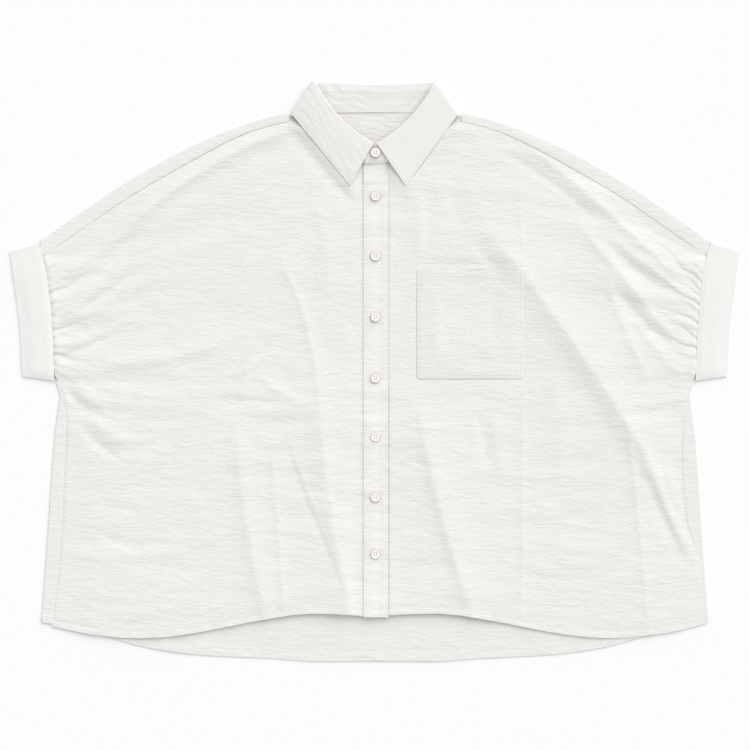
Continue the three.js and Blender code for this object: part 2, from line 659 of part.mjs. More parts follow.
// Stations round half of the collar, from the centre front over the side of the neck to the centre back.
// Each has the fall's edge, the roll's three points, the neck seam, and all heights.
function collarStations(side) {
  const tip = vector(COLLAR.tip[side]);
  const meet = vector(COLLAR.meet);
  const top = vector(COLLAR.foldTop);
  const foot = vector(COLLAR.foldFoot);
  const up = top.clone().sub(foot).normalize();
  const out = new THREE.Vector2(up.y, -up.x);
  const neckZ = FLOOR_Z + 2 * LAYER; // stand on the back's neck edge
  const { over } = COLLAR;
  const heights = {
    edge: { over: over.edge, under: FLOOR_Z },
    roll: { over: over.roll, under: FLOOR_Z },
    inner: { over: over.inner, under: neckZ + 0.5 },
    neck: { over: over.neck, under: neckZ },
  };
  const radius = (h) => (h.over - h.under) / 2;
  const rollRadius = 1;
  const rollCentre = top
    .clone()
    .addScaledVector(out, -radius(heights.roll))
    .addScaledVector(up, -rollRadius);
  const edgeCentre = foot.clone().addScaledVector(out, -radius(heights.edge));
  const neckCentre = rollCentre.clone().lerp(edgeCentre, 0.93);
  const rollLine = rollCentre.clone().sub(meet).normalize();
  const inward = new THREE.Vector2(-rollLine.y, rollLine.x);
  const standNeck = through([...STAND_NECK, neckCentre], "x", "y");
  const stations = [];

  const put = (edge, roll, inner, crestWay, neck) => {
    const half = roll.distanceTo(inner) / 2;
    const middle = roll.clone().add(inner).multiplyScalar(0.5);
    const crest = middle.add(lift(crestWay.clone().multiplyScalar(half), 0));
    stations.push({ edge, roll, crest, inner, neck });
  };

  for (const f of [0, 0.25, 0.5, 0.75]) {
    const bow = COLLAR.bow * 4 * f * (1 - f);
    const line = meet.clone().lerp(rollCentre, f).addScaledVector(inward, -bow);
    const edge = tip.clone().lerp(edgeCentre, f);
    const neckX = mix(3, neckCentre.x, f ** 0.92);
    const rollZ = mix(9.6, heights.roll.over, f);
    const innerZ = mix(7.6, heights.inner.over, f);
    const lapped = side === "left" ? 7.0 : 5.7;
    const neckHeight = f ? mix(5.9, heights.neck.over, f) : lapped;
    put(
      lift(edge, mix(COLLAR.tipHeight, heights.edge.over, f)),
      lift(line, rollZ),
      lift(line, f || side === "left" ? innerZ : 6.3),
      inward,
      lift({ x: neckX, y: standNeck(neckX) }, neckHeight),
    );
  }
  for (const degrees of [0, 45, 90, 135, 180]) {
    const angle = THREE.MathUtils.degToRad(degrees);
    const around = (centre, h) =>
      lift(
        centre.clone().addScaledVector(out, radius(h) * Math.sin(angle)),
        (h.over + h.under) / 2 + radius(h) * Math.cos(angle),
      );
    const rise = new THREE.Vector3(0, COLLAR.cornerRise * Math.max(degrees / 90 - 1, 0), 0);
    put(
      around(edgeCentre, heights.edge),
      around(rollCentre, heights.roll).add(rise),
      around(rollCentre, heights.inner).add(rise),
      up,
      around(neckCentre, heights.neck),
    );
  }
  const backRoll = { x: 0, y: COLLAR.rollBack - (neckZ + 0.5 - FLOOR_Z) / 2 };
  for (const g of [0.33, 0.66, 1]) {
    const ease = 1 - (1 - g) ** 2;
    const rise = COLLAR.cornerRise * (1 - g) ** 1.5;
    const roll = { x: mix(rollCentre.x, 0, g), y: mix(rollCentre.y, backRoll.y, ease) + rise };
    const edge = { x: mix(edgeCentre.x, 0, g), y: mix(edgeCentre.y, COLLAR.edgeBack, ease) };
    const neck = { x: mix(neckCentre.x, 0, g), y: mix(neckCentre.y, 298, ease) };
    put(
      lift(edge, heights.edge.under),
      lift(roll, heights.roll.under),
      lift(roll, heights.inner.under),
      new THREE.Vector2(0, 1),
      lift(neck, heights.neck.under),
    );
  }
  return stations;
}

const mirrored = (p) => new THREE.Vector3(-p.x, p.y, p.z);

// Both halves as one row of stations, from the right tip round the neck to the left tip.
function allStations() {
  const right = collarStations("right").map((station) =>
    Object.fromEntries(Object.entries(station).map(([name, p]) => [name, mirrored(p)])),
  );
  return [...right, ...collarStations("left").reverse().slice(1)];
}

// The seam between stand and fall, and a point on each side of it.
function seamPoint(station, away) {
  const whole = station.neck.distanceTo(station.inner);
  return station.neck.clone().lerp(station.inner, COLLAR.seamShare + away / whole);
}

function makeFall() {
  const sheet = new Sheet();
  const crown = 0.5;
  const columns = allStations().map((station) => {
    const { edge, roll, crest, inner } = station;
    const share = [0, 0.3, 0.6, 0.85].map((t) => {
      const p = edge.clone().lerp(roll, t);
      const leaf = edge.z > 6 ? 1 : 0;
      p.z += leaf * crown * 4 * t * (1 - t);
      return p;
    });
    const line = [...share, roll, crest, inner, seamPoint(station, GAP / 2)];
    return line.map((p, k) => ({ i: sheet.add(p.x, p.y, p.z), at: k }));
  });
  sheet.zipAll(columns);
  return sheet.thicken(CLOTH);
}

function makeStand() {
  const sheet = new Sheet();
  const stations = allStations();
  const lapEnd = (station, x) => ({
    neck: new THREE.Vector3(x, station.neck.y, station.neck.z),
    inner: new THREE.Vector3(x, station.inner.y - 2, station.inner.z - 0.2),
  });
  const first = lapEnd(stations[0], STAND_LAP);
  const last = lapEnd(stations.at(-1), -STAND_LAP);
  const columns = [first, ...stations, last].map((station) => {
    const seam = seamPoint(station, -GAP / 2);
    return [0, 0.5, 1].map((t) => {
      const p = station.neck.clone().lerp(seam, t);
      return { i: sheet.add(p.x, p.y, p.z), at: t };
    });
  });
  sheet.zipAll(columns);
  return sheet.thicken(CLOTH);
}

const wasm = await Module();
wasm.setup();

function toSolid(geometry) {
  const bare = geometry.clone();
  bare.deleteAttribute("normal");
  bare.deleteAttribute("uv");
  const merged = mergeVertices(bare, 1e-4);
  return new wasm.Manifold(
    new wasm.Mesh({
      numProp: 3,
      vertProperties: merged.attributes.position.array,
      triVerts: new Uint32Array(merged.index.array),
    }),
  );
}

function toGeometry(solid) {
  const mesh = solid.getMesh();
  const geometry = new THREE.BufferGeometry();
  geometry.setAttribute("position", new THREE.BufferAttribute(mesh.vertProperties, 3));
  geometry.setIndex(new THREE.BufferAttribute(mesh.triVerts, 1));
  geometry.computeVertexNormals();
  return geometry;
}

// A button with a raised rim, a dished middle and four sewing holes.
function makeButton() {
  const { radius, height, hole, spread } = BUTTON;
  const profile = [
    [0, 0],
    [radius - 1.1, 0],
    [radius, 0.9],
    [radius - 0.2, height - 0.4],
    [radius - 0.8, height],
    [radius - 1.6, height - 0.5],
    [0, height - 0.6],
  ].map(([x, y]) => new THREE.Vector2(x, y));
  const disc = new THREE.LatheGeometry(profile, BUTTON_SIDES).rotateX(Math.PI / 2);
  let solid = toSolid(disc);
  const drill = new THREE.CylinderGeometry(hole, hole, 3 * height, 8).rotateX(Math.PI / 2);
  for (const x of [-spread, spread])
    for (const y of [-spread, spread])
      solid = solid.subtract(toSolid(drill.clone().translate(x, y, 0)));
  return toGeometry(solid);
}

const cloth = new THREE.MeshStandardMaterial({ color: 0xf0eeeb, roughness: 0.9, metalness: 0 });
const pearl = new THREE.MeshStandardMaterial({ color: 0xf7f5f2, roughness: 0.35, metalness: 0 });

const blouse = new THREE.Group();

function place(name, geometry, material, position = [0, 0, 0]) {
  const mesh = new THREE.Mesh(geometry, material.clone());
  mesh.name = name;
  mesh.position.set(...position);
  blouse.add(mesh);
}

place("back", makeBack(), cloth);
place("front_right", makeFront("right"), cloth);
place("front_left", makeFront("left"), cloth);
place("placket", makePlacket(), cloth);
place("pocket", makePocket(), cloth);
place("cuff_right", makeCuff(-1), cloth);
place("cuff_left", makeCuff(1), cloth);
place("collar_stand", makeStand(), cloth);
place("collar_fall", makeFall(), cloth);

// The top button lies on the stand, the others on the band.
const STAND_BUTTON_Z = 8.3;
const button = makeButton();
BUTTON_YS.forEach((y, k) => {
  const onBand = frontHeight("right", BUTTON_X, y) + LAYER + CLOTH / 2 + GAP;
  place(`button_${k + 1}`, button, pearl, [BUTTON_X, y, k ? onBand : STAND_BUTTON_Z]);
});

export default blouse;
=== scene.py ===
"""A wide short-sleeved blouse, laid flat face up. Lengths are in millimetres until a mesh is made."""
import math

import bmesh
import bpy
import numpy as np
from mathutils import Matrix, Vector


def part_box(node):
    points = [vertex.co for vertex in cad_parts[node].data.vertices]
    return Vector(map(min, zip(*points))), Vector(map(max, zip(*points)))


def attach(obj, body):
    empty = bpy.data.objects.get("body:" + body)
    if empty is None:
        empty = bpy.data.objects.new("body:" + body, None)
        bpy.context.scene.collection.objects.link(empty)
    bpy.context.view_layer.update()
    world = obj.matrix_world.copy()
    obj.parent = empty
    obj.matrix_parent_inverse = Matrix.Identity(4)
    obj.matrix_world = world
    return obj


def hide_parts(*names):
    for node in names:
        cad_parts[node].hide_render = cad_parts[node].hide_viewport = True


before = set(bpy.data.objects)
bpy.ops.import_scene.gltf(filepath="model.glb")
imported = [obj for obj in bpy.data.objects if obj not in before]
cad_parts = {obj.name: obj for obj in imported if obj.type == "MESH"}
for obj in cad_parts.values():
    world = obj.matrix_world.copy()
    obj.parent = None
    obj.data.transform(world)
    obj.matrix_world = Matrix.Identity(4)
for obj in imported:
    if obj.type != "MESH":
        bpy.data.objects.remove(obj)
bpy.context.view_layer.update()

MM = 0.001

# Layers, as the solids have them.
SOLID_CLOTH = 1.0
GAP = 0.3
LAYER = SOLID_CLOTH + GAP
FLOOR_Z = SOLID_CLOTH / 2  # the middle of the layer on the surface
# Shown cloth is thinner and turns tighter than its solid, so creases have room.
CLOTH = 0.8
CUFF_CLOTH = 1.1
TURN = 0.62  # radius of the back's turned edge, to the middle of the cloth
CUFF_TURN = {"seam": 1.1, "opening": 0.7}
FRONT_Z = FLOOR_Z + 2 * TURN
LOFT = {"height": 1.7, "reach": 60.0}
HEM_RISE = {"height": 2.6, "half_width": 130.0, "reach": 70.0}
ABOVE_CLOTH = CLOTH / 2 + 0.1  # from a sheet's middle to the thread that lies on it

UNDERARM_Y = -10.5
NECK_X = 97.0  # the shoulder's turned edge starts here, beside the collar
SEAM_LAP = 1.4  # how far the back's strips go under the fronts' edges
FRONT_WIDTH = 375  # about, from the middle to a cuff
FRONT_LENGTH = 560
PITCH = 2.2  # of the fronts' grid

PLACKET = {"x0": -13.2, "x1": 15.5, "top": 241.0, "hem": -282.2}
POCKET = {"x0": 48.3, "x1": 170.2, "y0": -8.4, "y1": 116.4, "corner": 4.6}
UNDERLAP_X = 13.0
FRONT_HEM_BAND = 7.0
BACK_HEM_BAND = 9.5

BUTTON_X = 0.6
BUTTON_YS = (251.3, 201.8, 132.8, 62.7, -7.5, -75.3, -144.3, -209.9)
BUTTON_RADIUS = 5.75
BUTTON_HEIGHT = 2.4
HOLE_SPREAD = 1.45  # from a button's centre to its holes, each way

# Folds and creases of the fronts. Each has a curved path through three control points, a half width on
# its right and on its left, and a height (negative for a trough). Its edge is soft, unless the row says
# a rounded crest, or sharp where pressed.
FOLD_FIELDS = ("x0", "y0", "x1", "y1", "x2", "y2", "right", "left", "height", "edge")
FOLD_ROWS = (
    (98, 197, 234, 48, 355, -171, 28, 19, 5.9, "crest"),
    (176, 72, 240, -16, 298, -122, 10, 16, -0.8),
    (170, -2, 170, -140, 169, -345, 4, 3, 0.9, "sharp"),
    (285, -34, 303, -140, 318, -345, 5, 3.5, 1.2, "sharp"),
    (300, -67, 337, -175, 372, -224, 9, 7, 2.6),
    (312, -112, 326, -160, 352, -208, 5, 7, -1.3),
    (330, -92, 344, -150, 366, -196, 5, 5, 0.8),
    (46, -10, 66, -160, 132, -335, 24, 16, 4.8, "crest"),
    (42, -40, 56, -160, 116, -310, 7, 10, -0.5),
    (118, -44, 127, -80, 130, -118, 8, 6, -1.1),
    (136, -40, 142, -90, 146, -130, 9, 7, 0.9),
    (54, 214, 50, 160, 52, 120, 9, 5, 1.3),
    (84, 224, 82, 180, 96, 132, 16, 12, -1.0),
    (112, 152, 128, 128, 150, 106, 12, 7, -1.1),
    (60, 236, 92, 190, 86, 128, 10, 10, 1.0),
    (150, 280, 262, 196, 382, 74, 10, 9, 3.6, "crest"),
    (130, 262, 205, 222, 262, 168, 4, 5, -0.9),
    (262, 154, 300, 108, 358, 82, 6, 8, -1.5),
    (222, 182, 296, 98, 352, 26, 8, 9, 3.0, "crest"),
    (256, 162, 312, 128, 374, 68, 7, 8, 2.2, "crest"),
    (272, 108, 306, 44, 362, 20, 6, 8, -1.7),
    (262, 116, 284, 50, 322, -24, 6, 6, 1.6, "crest"),
    (292, 66, 326, 22, 358, -14, 5, 5, 1.1, "crest"),
    (167, 226, 168, 176, 169, 122, 4, 3, 0.5, "sharp"),
    (204, 6, 214, -60, 216, -130, 14, 12, 0.8),
    (180, -196, 236, -206, 292, -204, 6, 6, 0.5),
    (72, 96, 66, 50, 76, 4, 9, 6, 1.0),
    (134, 98, 142, 60, 136, 20, 6, 8, -0.8),
    (-64, 20, -66, -150, -10, -345, 15, 22, 4.6, "crest"),
    (-113, -56, -78, -150, -22, -290, 3, 5, -1.0, "sharp"),
    (-160, -30, -158, -165, -112, -335, 14, 9, 2.8, "crest"),
    (-72, 206, -52, 160, -54, 70, 10, 12, 1.5, "crest"),
    (-122, -60, -110, -170, -102, -340, 5, 4, 1.2, "sharp"),
    (-96, -84, -84, -132, -60, -182, 4, 4, 0.7),
    (-120, 145, -65, 62, -66, -50, 7, 6, 1.7, "sharp"),
    (-106, 86, -128, 76, -150, 44, 5, 5, 0.5),
    (-72, 284, -188, 260, -312, 140, 10, 7, 5.2, "crest"),
    (-96, 240, -210, 214, -300, 120, 12, 14, 1.2),
    (-369, 92, -320, 104, -260, 174, 6, 6, -2.2),
    (-366, 56, -326, 90, -258, 154, 7, 8, 1.6),
    (-354, 62, -318, 82, -264, 124, 5, 6, -1.3),
    (-369, 106, -330, 124, -290, 166, 6, 6, 1.4),
    (-368, 50, -330, 56, -250, 96, 8, 7, -1.0),
    (-366, 28, -320, 38, -262, 70, 7, 6, 1.4),
    (-366, 16, -334, 24, -300, 46, 4, 6, -1.2),
    (-364, -2, -258, 4, -155, 40, 15, 12, 1.8),
    (-330, -6, -250, 2, -150, 26, 6, 7, -0.8),
    (-360, -16, -342, -36, -326, -52, 6, 5, -1.5),
    (-352, -10, -330, -30, -308, -44, 7, 6, 1.3),
    (-342, -60, -318, -86, -290, -104, 6, 5, -1.5),
    (-334, -52, -306, -72, -276, -88, 7, 6, 1.3),
    (-276, -140, -250, -122, -222, -84, 5, 6, -1.2),
    (-290, -128, -262, -104, -232, -78, 7, 6, 1.0),
    (-332, -146, -300, -160, -268, -158, 6, 6, -0.9),
    (-322, -182, -290, -202, -262, -206, 6, 6, -0.9),
    (-300, -208, -260, -214, -210, -204, 6, 5, 1.0),
    (-296, -196, -262, -200, -226, -192, 5, 5, -0.7),
    (-144, 4, -116, -22, -70, -44, 5, 5, 0.9),
    (-188, -10, -160, -8, -118, 22, 5, 5, 0.7),
    (-176, -36, -140, -28, -100, -42, 4, 5, -0.6),
    (-140, 50, -148, 10, -152, -60, 7, 7, 0.7),
)
FOLDS = [{"edge": "soft", **dict(zip(FOLD_FIELDS, row))} for row in FOLD_ROWS]

# Gathers: creases that start at a cuff's seam, with how deep and far in they run and how they lean.
GATHER_FIELDS = ("y", "depth", "reach", "lean")
GATHER_ROWS = {
    "right": (
        (124, 0.9, 16, 0.55), (115, 1.3, 22, 0.50), (107, 0.9, 12, 0.30), (98, 1.1, 14, 0.35),
        (91, 2.9, 44, 0.42), (78, 1.3, 20, 0.25), (64, 1.5, 20, 0.60), (49, 1.9, 24, 0.10),
        (39, 1.2, 16, 0.05), (30, 1.2, 14, -0.15), (21, 2.0, 26, -0.20), (11, 1.5, 20, -0.55),
        (2, 1.2, 18, -0.80),
    ),
    "left": (
        (124, 0.8, 12, 0.35), (113, 1.2, 18, 0.40), (103, 1.8, 34, 0.75), (94, 1.3, 18, 0.60),
        (87, 1.2, 16, 0.50), (78, 2.0, 36, 0.55), (69, 1.2, 18, 0.40), (57, 1.9, 32, 0.30),
        (47, 1.2, 18, 0.45), (38, 1.5, 22, 0.60), (28, 2.0, 28, 0.35), (17, 1.3, 20, 0.10),
        (4, 1.1, 16, -0.50),
    ),
}
GATHERS = {side: [dict(zip(GATHER_FIELDS, row)) for row in rows] for side, rows in GATHER_ROWS.items()}
GATHER_WIDTH = 1.8

COLLAR = {
    "meet": (2.6, 261.2),
    "tip": {"right": (28.5, 213.8), "left": (35.2, 213.8)},
    "fold_top": (72.2, 333.3),
    "fold_foot": (97.0, 295.5),
    "roll_back": 330.6,
    "edge_back": 286.0,
    "corner_rise": 2.4,
    "bow": 7.0,
    "tip_height": 6.5,
    "over": {"edge": 8.0, "roll": 12.2, "inner": 10.2, "neck": 6.4},
    "seam_share": 0.66,
}
SEAM_GAP = 0.1  # the shown gap between the collar's fall and its stand
STAND_NECK = ((0, 238), (30, 245.5), (56, 266.5), (77, 284))
STAND_LAP = 12.0
CUFF = {"seam_top": 148.2, "seam_foot": -10.6, "open_top": 138.2, "open_foot": -5.6}


def smooth(t):
    s = np.clip(t, 0.0, 1.0)
    return s * s * (3 - 2 * s)


def mix(a, b, t):
    return a + (b - a) * t


def bell(away, width):
    return np.exp(-((away / width) ** 2))


# Outlines come from the solids, so every shown piece ends where its solid does.
def crossings(node, axis, at, pick):
    """The largest or smallest of the other plan coordinate where the node's edges cross axis = at."""
    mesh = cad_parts[node].data
    points = np.zeros(len(mesh.vertices) * 3)
    mesh.vertices.foreach_get("co", points)
    points = points.reshape(-1, 3) / MM
    ends = np.zeros(len(mesh.edges) * 2, int)
    mesh.edges.foreach_get("vertices", ends)
    a, b = points[ends.reshape(-1, 2)].transpose(1, 0, 2)
    other = 1 - axis
    span = b[:, axis] - a[:, axis]
    a, b, span = a[np.abs(span) > 1e-6], b[np.abs(span) > 1e-6], span[np.abs(span) > 1e-6]
    found = []
    for value in at:
        t = (value - a[:, axis]) / span
        on = (t >= 0) & (t <= 1)
        met = mix(a[on, other], b[on, other], t[on])
        found.append(pick(met) if len(met) else np.nan)
    found = np.array(found)
    good = ~np.isnan(found)
    return np.interp(at, np.asarray(at)[good], found[good])


def edge_line(node, axis, low, high, pick, pitch=2.0):
    at = np.linspace(low, high, int((high - low) / pitch) + 2)
    values = crossings(node, axis, at, pick)
    return lambda v: np.interp(v, at, values)


HEM_CORNER_Y = -289.0
CUFF_CORNER_Y = 132.3
SHOULDER_END_Y = CUFF_CORNER_Y + 12
FRONT_REACH = 379
BACK_REACH = 383

front_edge, front_hem, front_top, hem_corner_x = {}, {}, {}, {}
for side, sign, inner_x in (("right", -1, -UNDERLAP_X), ("left", 1, PLACKET["x1"] + GAP)):
    node = f"front_{side}"
    furthest = np.min if sign < 0 else np.max
    across = edge_line(node, 1, HEM_CORNER_Y, CUFF_CORNER_Y, furthest)
    front_edge[side] = lambda y, f=across, s=sign: s * f(np.clip(y, HEM_CORNER_Y, CUFF_CORNER_Y))
    hem_corner_x[side] = float(front_edge[side](HEM_CORNER_Y)) - 2.0
    lowest = edge_line(node, 0, -FRONT_REACH, FRONT_REACH, np.min)
    highest = edge_line(node, 0, -FRONT_REACH, FRONT_REACH, np.max)
    front_hem[side] = lambda x, f=lowest, s=sign, end=hem_corner_x[side]: f(s * np.minimum(x, end))
    front_top[side] = lambda x, f=highest, s=sign: f(s * x)

back_reach = edge_line("back", 1, HEM_CORNER_Y, SHOULDER_END_Y, np.max, 1.0)
back_low = edge_line("back", 0, 0, BACK_REACH, np.min)
back_high = edge_line("back", 0, 0, BACK_REACH, np.max, 1.0)


def back_edge(y):
    y = np.clip(y, HEM_CORNER_Y, SHOULDER_END_Y)
    return back_reach(y) - np.where(y < UNDERARM_Y, TURN + SOLID_CLOTH / 2, 0)


def shoulder_lean(x):
    return np.hypot(1, (back_high(x + 4) - back_high(x - 4)) / 8)


def back_top(x):
    """The back's neck edge, then the line where its shoulder starts to turn over."""
    x = np.minimum(x, BACK_REACH)
    turned = back_high(x) - (TURN + SOLID_CLOTH / 2) * shoulder_lean(np.maximum(x, NECK_X + 4))
    return np.where(x >= NECK_X, turned, back_high(x))


# Fine relief, from smooth noise on a seeded lattice.
LATTICE = 1024


def noise(x, y, size_x, size_y, seed):
    u, v = x / size_x + LATTICE / 2, y / size_y + LATTICE / 2
    i, j = np.floor(u).astype(int), np.floor(v).astype(int)
    lattice = np.random.default_rng(seed).uniform(-1, 1, (LATTICE, LATTICE))
    fu, fv = smooth(u - i), smooth(v - j)
    pick = lambda a, b: lattice[a % LATTICE, b % LATTICE]
    low = mix(pick(i, j), pick(i + 1, j), fu)
    high = mix(pick(i, j + 1), pick(i + 1, j + 1), fu)
    return mix(low, high, fv)


def crinkle(x, y, angle=0.0, seed=1):
    """Long uneven crinkles along the given direction, of several sizes, that wander up and down."""
    c, s = math.cos(angle), math.sin(angle)
    u, v = c * x + s * y, c * y - s * x
    v = v + 5.0 * noise(x, y, 70, 40, seed) + 1.2 * noise(x, y, 24, 15, seed + 5)
    relief = 0.26 * noise(u, v, 34, 8.5, seed + 1) + 0.24 * noise(u, v, 15, 5.0, seed + 2)
    uneven = 0.8 + 0.55 * noise(x, y, 64, 48, seed + 3)
    soft = 0.34 * noise(u, v, 56, 27, seed + 4) + 0.2 * noise(x, y, 24, 19, seed + 6)
    return relief * uneven + soft


def drape_line(inside, y):
    """A value that stays the same along the cloth's run: it fans out inwards from each cuff."""
    lean = 0.005 * (np.clip(y, -20, 140) - 25) * smooth((y + 90) / 70)
    return y - lean * 120 * (1 - np.exp(-inside / 120))


def fold_height(fold, x, y):
    """A fold's height at each point. Right and left are as seen along its path from the top."""
    t = np.linspace(0, 1, 19)
    px = (1 - t) ** 2 * fold["x0"] + 2 * t * (1 - t) * fold["x1"] + t * t * fold["x2"]
    py = (1 - t) ** 2 * fold["y0"] + 2 * t * (1 - t) * fold["y1"] + t * t * fold["y2"]
    reach = 3.2 * max(fold["right"], fold["left"])
    near = (x > px.min() - reach) & (x < px.max() + reach)
    near &= (y > py.min() - reach) & (y < py.max() + reach)
    height = np.zeros_like(x)
    if not near.any():
        return height
    qx, qy = x[near], y[near]
    nearest = np.full(qx.shape, 1e9)
    off = np.zeros(qx.shape)
    along = np.zeros(qx.shape)
    for k in range(len(t) - 1):
        dx, dy = px[k + 1] - px[k], py[k + 1] - py[k]
        share = np.clip(((qx - px[k]) * dx + (qy - py[k]) * dy) / (dx * dx + dy * dy), 0, 1)
        ex, ey = qx - px[k] - share * dx, qy - py[k] - share * dy
        away = np.hypot(ex, ey)
        closer = away < nearest
        nearest = np.where(closer, away, nearest)
        off = np.where(closer, dx * ey - dy * ex, off)
        along = np.where(closer, (k + share) / (len(t) - 1), along)
    # Paths run down or outwards, so the sunlit side is the one that faces up and to the right.
    sunlit = off > 0 if fold["x2"] > fold["x0"] else off < 0
    width = np.where(sunlit, fold["right"], fold["left"])
    shape = bell(nearest, width)
    if fold["edge"] != "soft":
        rounding = {"crest": 3.0, "sharp": 0.4}[fold["edge"]]
        shape = np.exp((rounding - np.hypot(nearest, rounding)) / width)
    fade = smooth(along / 0.28) * smooth((1 - along) / 0.28)
    height[near] = fold["height"] * fade * shape
    return height


def gather_height(side, x, y):
    inside = np.maximum(front_edge[side](y) - np.abs(x), 0)
    zone = smooth((y - UNDERARM_Y + 4) / 14) * smooth((136 - y) / 12)
    height = 3.4 * zone * np.exp(-inside / 34) * smooth((inside + 5) / 9)
    for crease in GATHERS[side]:
        width = GATHER_WIDTH * (1 + inside / 30)
        wander = 2.5 * np.sin(inside / 9 + crease["y"]) + 3 * noise(inside, y, 13, 60, 91)
        bend = crease["y"] + crease["lean"] * inside + wander * smooth(inside / 12)
        # A tuck: the cloth above it lies over the deep crease below.
        above = y - bend
        shape = 0.8 * np.exp(-np.hypot(above, 0.5) / width)
        shape = shape - 0.8 * np.tanh(above / 0.9) * np.exp(-np.abs(above) / (2.4 * width))
        height -= crease["depth"] * shape * np.exp(-inside / crease["reach"])
    return height


def hem_relief(above, x, band, seed):
    """A turned hem: its extra layer, the groove of its stitching and small slanted puckers."""
    turned = 0.35 * smooth((band - above) / 1.5)
    groove = -0.3 * bell(above - band, 1.3)
    slant = np.sin((x + 0.9 * above) / 3.1 + 4 * noise(x, above, 19, 40, seed))
    pucker = 0.13 * slant * bell(above - 0.6 * band, 0.75 * band)
    return turned + groove + pucker


def beside_pocket(x, y):
    """The front sinks along the pocket's stitched edges, and sags a little above its open edge."""
    across = np.maximum(POCKET["x0"] - x, x - POCKET["x1"])
    away = np.maximum(across, POCKET["y0"] - y)
    sides = -0.4 * bell(away, 1.6) * (away > 0) * smooth((POCKET["y1"] + 3 - y) / 4)
    sag = -0.9 * bell(y - POCKET["y1"] - 6, 5) * smooth(-across / 12)
    return sides + sag


def collar_lift(x, y):
    return LAYER * smooth((y - 262) / 18) * smooth((128 - np.abs(x)) / 26)


def collar_pad(side, x, y):
    """How far the collar's leaf holds up the front below and around it."""
    tip, foot = np.array(COLLAR["tip"][side]), np.array(COLLAR["fold_foot"])
    way = (foot - tip) / np.linalg.norm(foot - tip)
    away = way[1] * (np.abs(x) - tip[0]) - way[0] * (y - tip[1])
    along = way[0] * (np.abs(x) - tip[0]) + way[1] * (y - tip[1])
    if side == "right":
        fall = 1 - smooth(away / 12) - 0.25 * bell(away - 14, 7)
    else:
        fall = bell(np.maximum(away, 0), 15)
    reach = fall * smooth((along + 26) / 30)
    centre = smooth((np.abs(x) - 10) / 18)
    return 2.9 * reach * centre * smooth((front_top[side](np.abs(x)) - y) / 9)


def front_height(side, x, y):
    """The middle of the upper layer."""
    out = np.abs(x)
    if side == "right":
        band = -0.8 * smooth((x + 34) / 20)
    else:
        band = 0.5 * smooth((36 - x) / 20)
    above = y - front_hem[side](np.where(out < UNDERLAP_X + 1, UNDERLAP_X, out))
    centre = bell(x, HEM_RISE["half_width"])
    hem = HEM_RISE["height"] * centre * smooth(1 - above / HEM_RISE["reach"])
    hem = hem - 0.6 * (1 - centre) * smooth(1 - above / 26)
    inside = np.minimum(front_edge[side](y) - out, 0.8 * (front_top[side](out) - y))
    loft = LOFT["height"] * smooth(inside / LOFT["reach"])
    calm = smooth((out - 14) / 22)
    raised = sum(fold_height(f, x, y) for f in FOLDS if (f["x0"] > 0) == (side == "left"))
    height = FRONT_Z + loft + band + hem + calm * raised + gather_height(side, x, y)
    height = height + collar_pad(side, x, y)
    to_cuff = front_edge[side](y) - out
    if side == "left":
        height = height + beside_pocket(x, y)
    else:
        height = height + 0.8 * smooth(to_cuff / 2.6) * smooth((UNDERARM_Y - y) / 12)
    run = drape_line(to_cuff, y)
    sleeve = np.exp(-to_cuff / 110) * smooth((y + 60) / 60)
    drape = noise(x, run, 80, 15, 7) * (0.4 + 1.5 * sleeve) + 0.75 * sleeve * noise(x, run, 44, 8, 8)
    height = height + (crinkle(x, run) + drape) * smooth(inside / 6)
    height = height + hem_relief(above, x, FRONT_HEM_BAND, 11)
    if side == "left":
        height = height - 1.2 * smooth((PLACKET["x1"] + 1.5 - x) / 1.8)
    return np.maximum(height, FLOOR_Z + LAYER) + collar_lift(x, y)


# Materials. Their noise is in the object's own coordinates.
def new_material(name):
    material = bpy.data.materials.new(name)
    material.use_nodes = True
    nodes = material.node_tree.nodes
    nodes.clear()
    output = nodes.new("ShaderNodeOutputMaterial")
    shader = nodes.new("ShaderNodeBsdfPrincipled")
    material.node_tree.links.new(shader.outputs["BSDF"], output.inputs["Surface"])
    return material, nodes, material.node_tree.links, shader


def set_inputs(node, values):
    for name, value in values.items():
        node.inputs[name].default_value = value


def blend_colors(nodes, links, shader, share, low, high):
    """Gives the shader a color from low to high. In a mix node, colors go in at 6 and 7 and out at 2."""
    blend = nodes.new("ShaderNodeMix")
    blend.data_type = "RGBA"
    blend.inputs[6].default_value = (*low, 1)
    blend.inputs[7].default_value = (*high, 1)
    links.new(share, blend.inputs[0])
    links.new(blend.outputs[2], shader.inputs["Base Color"])


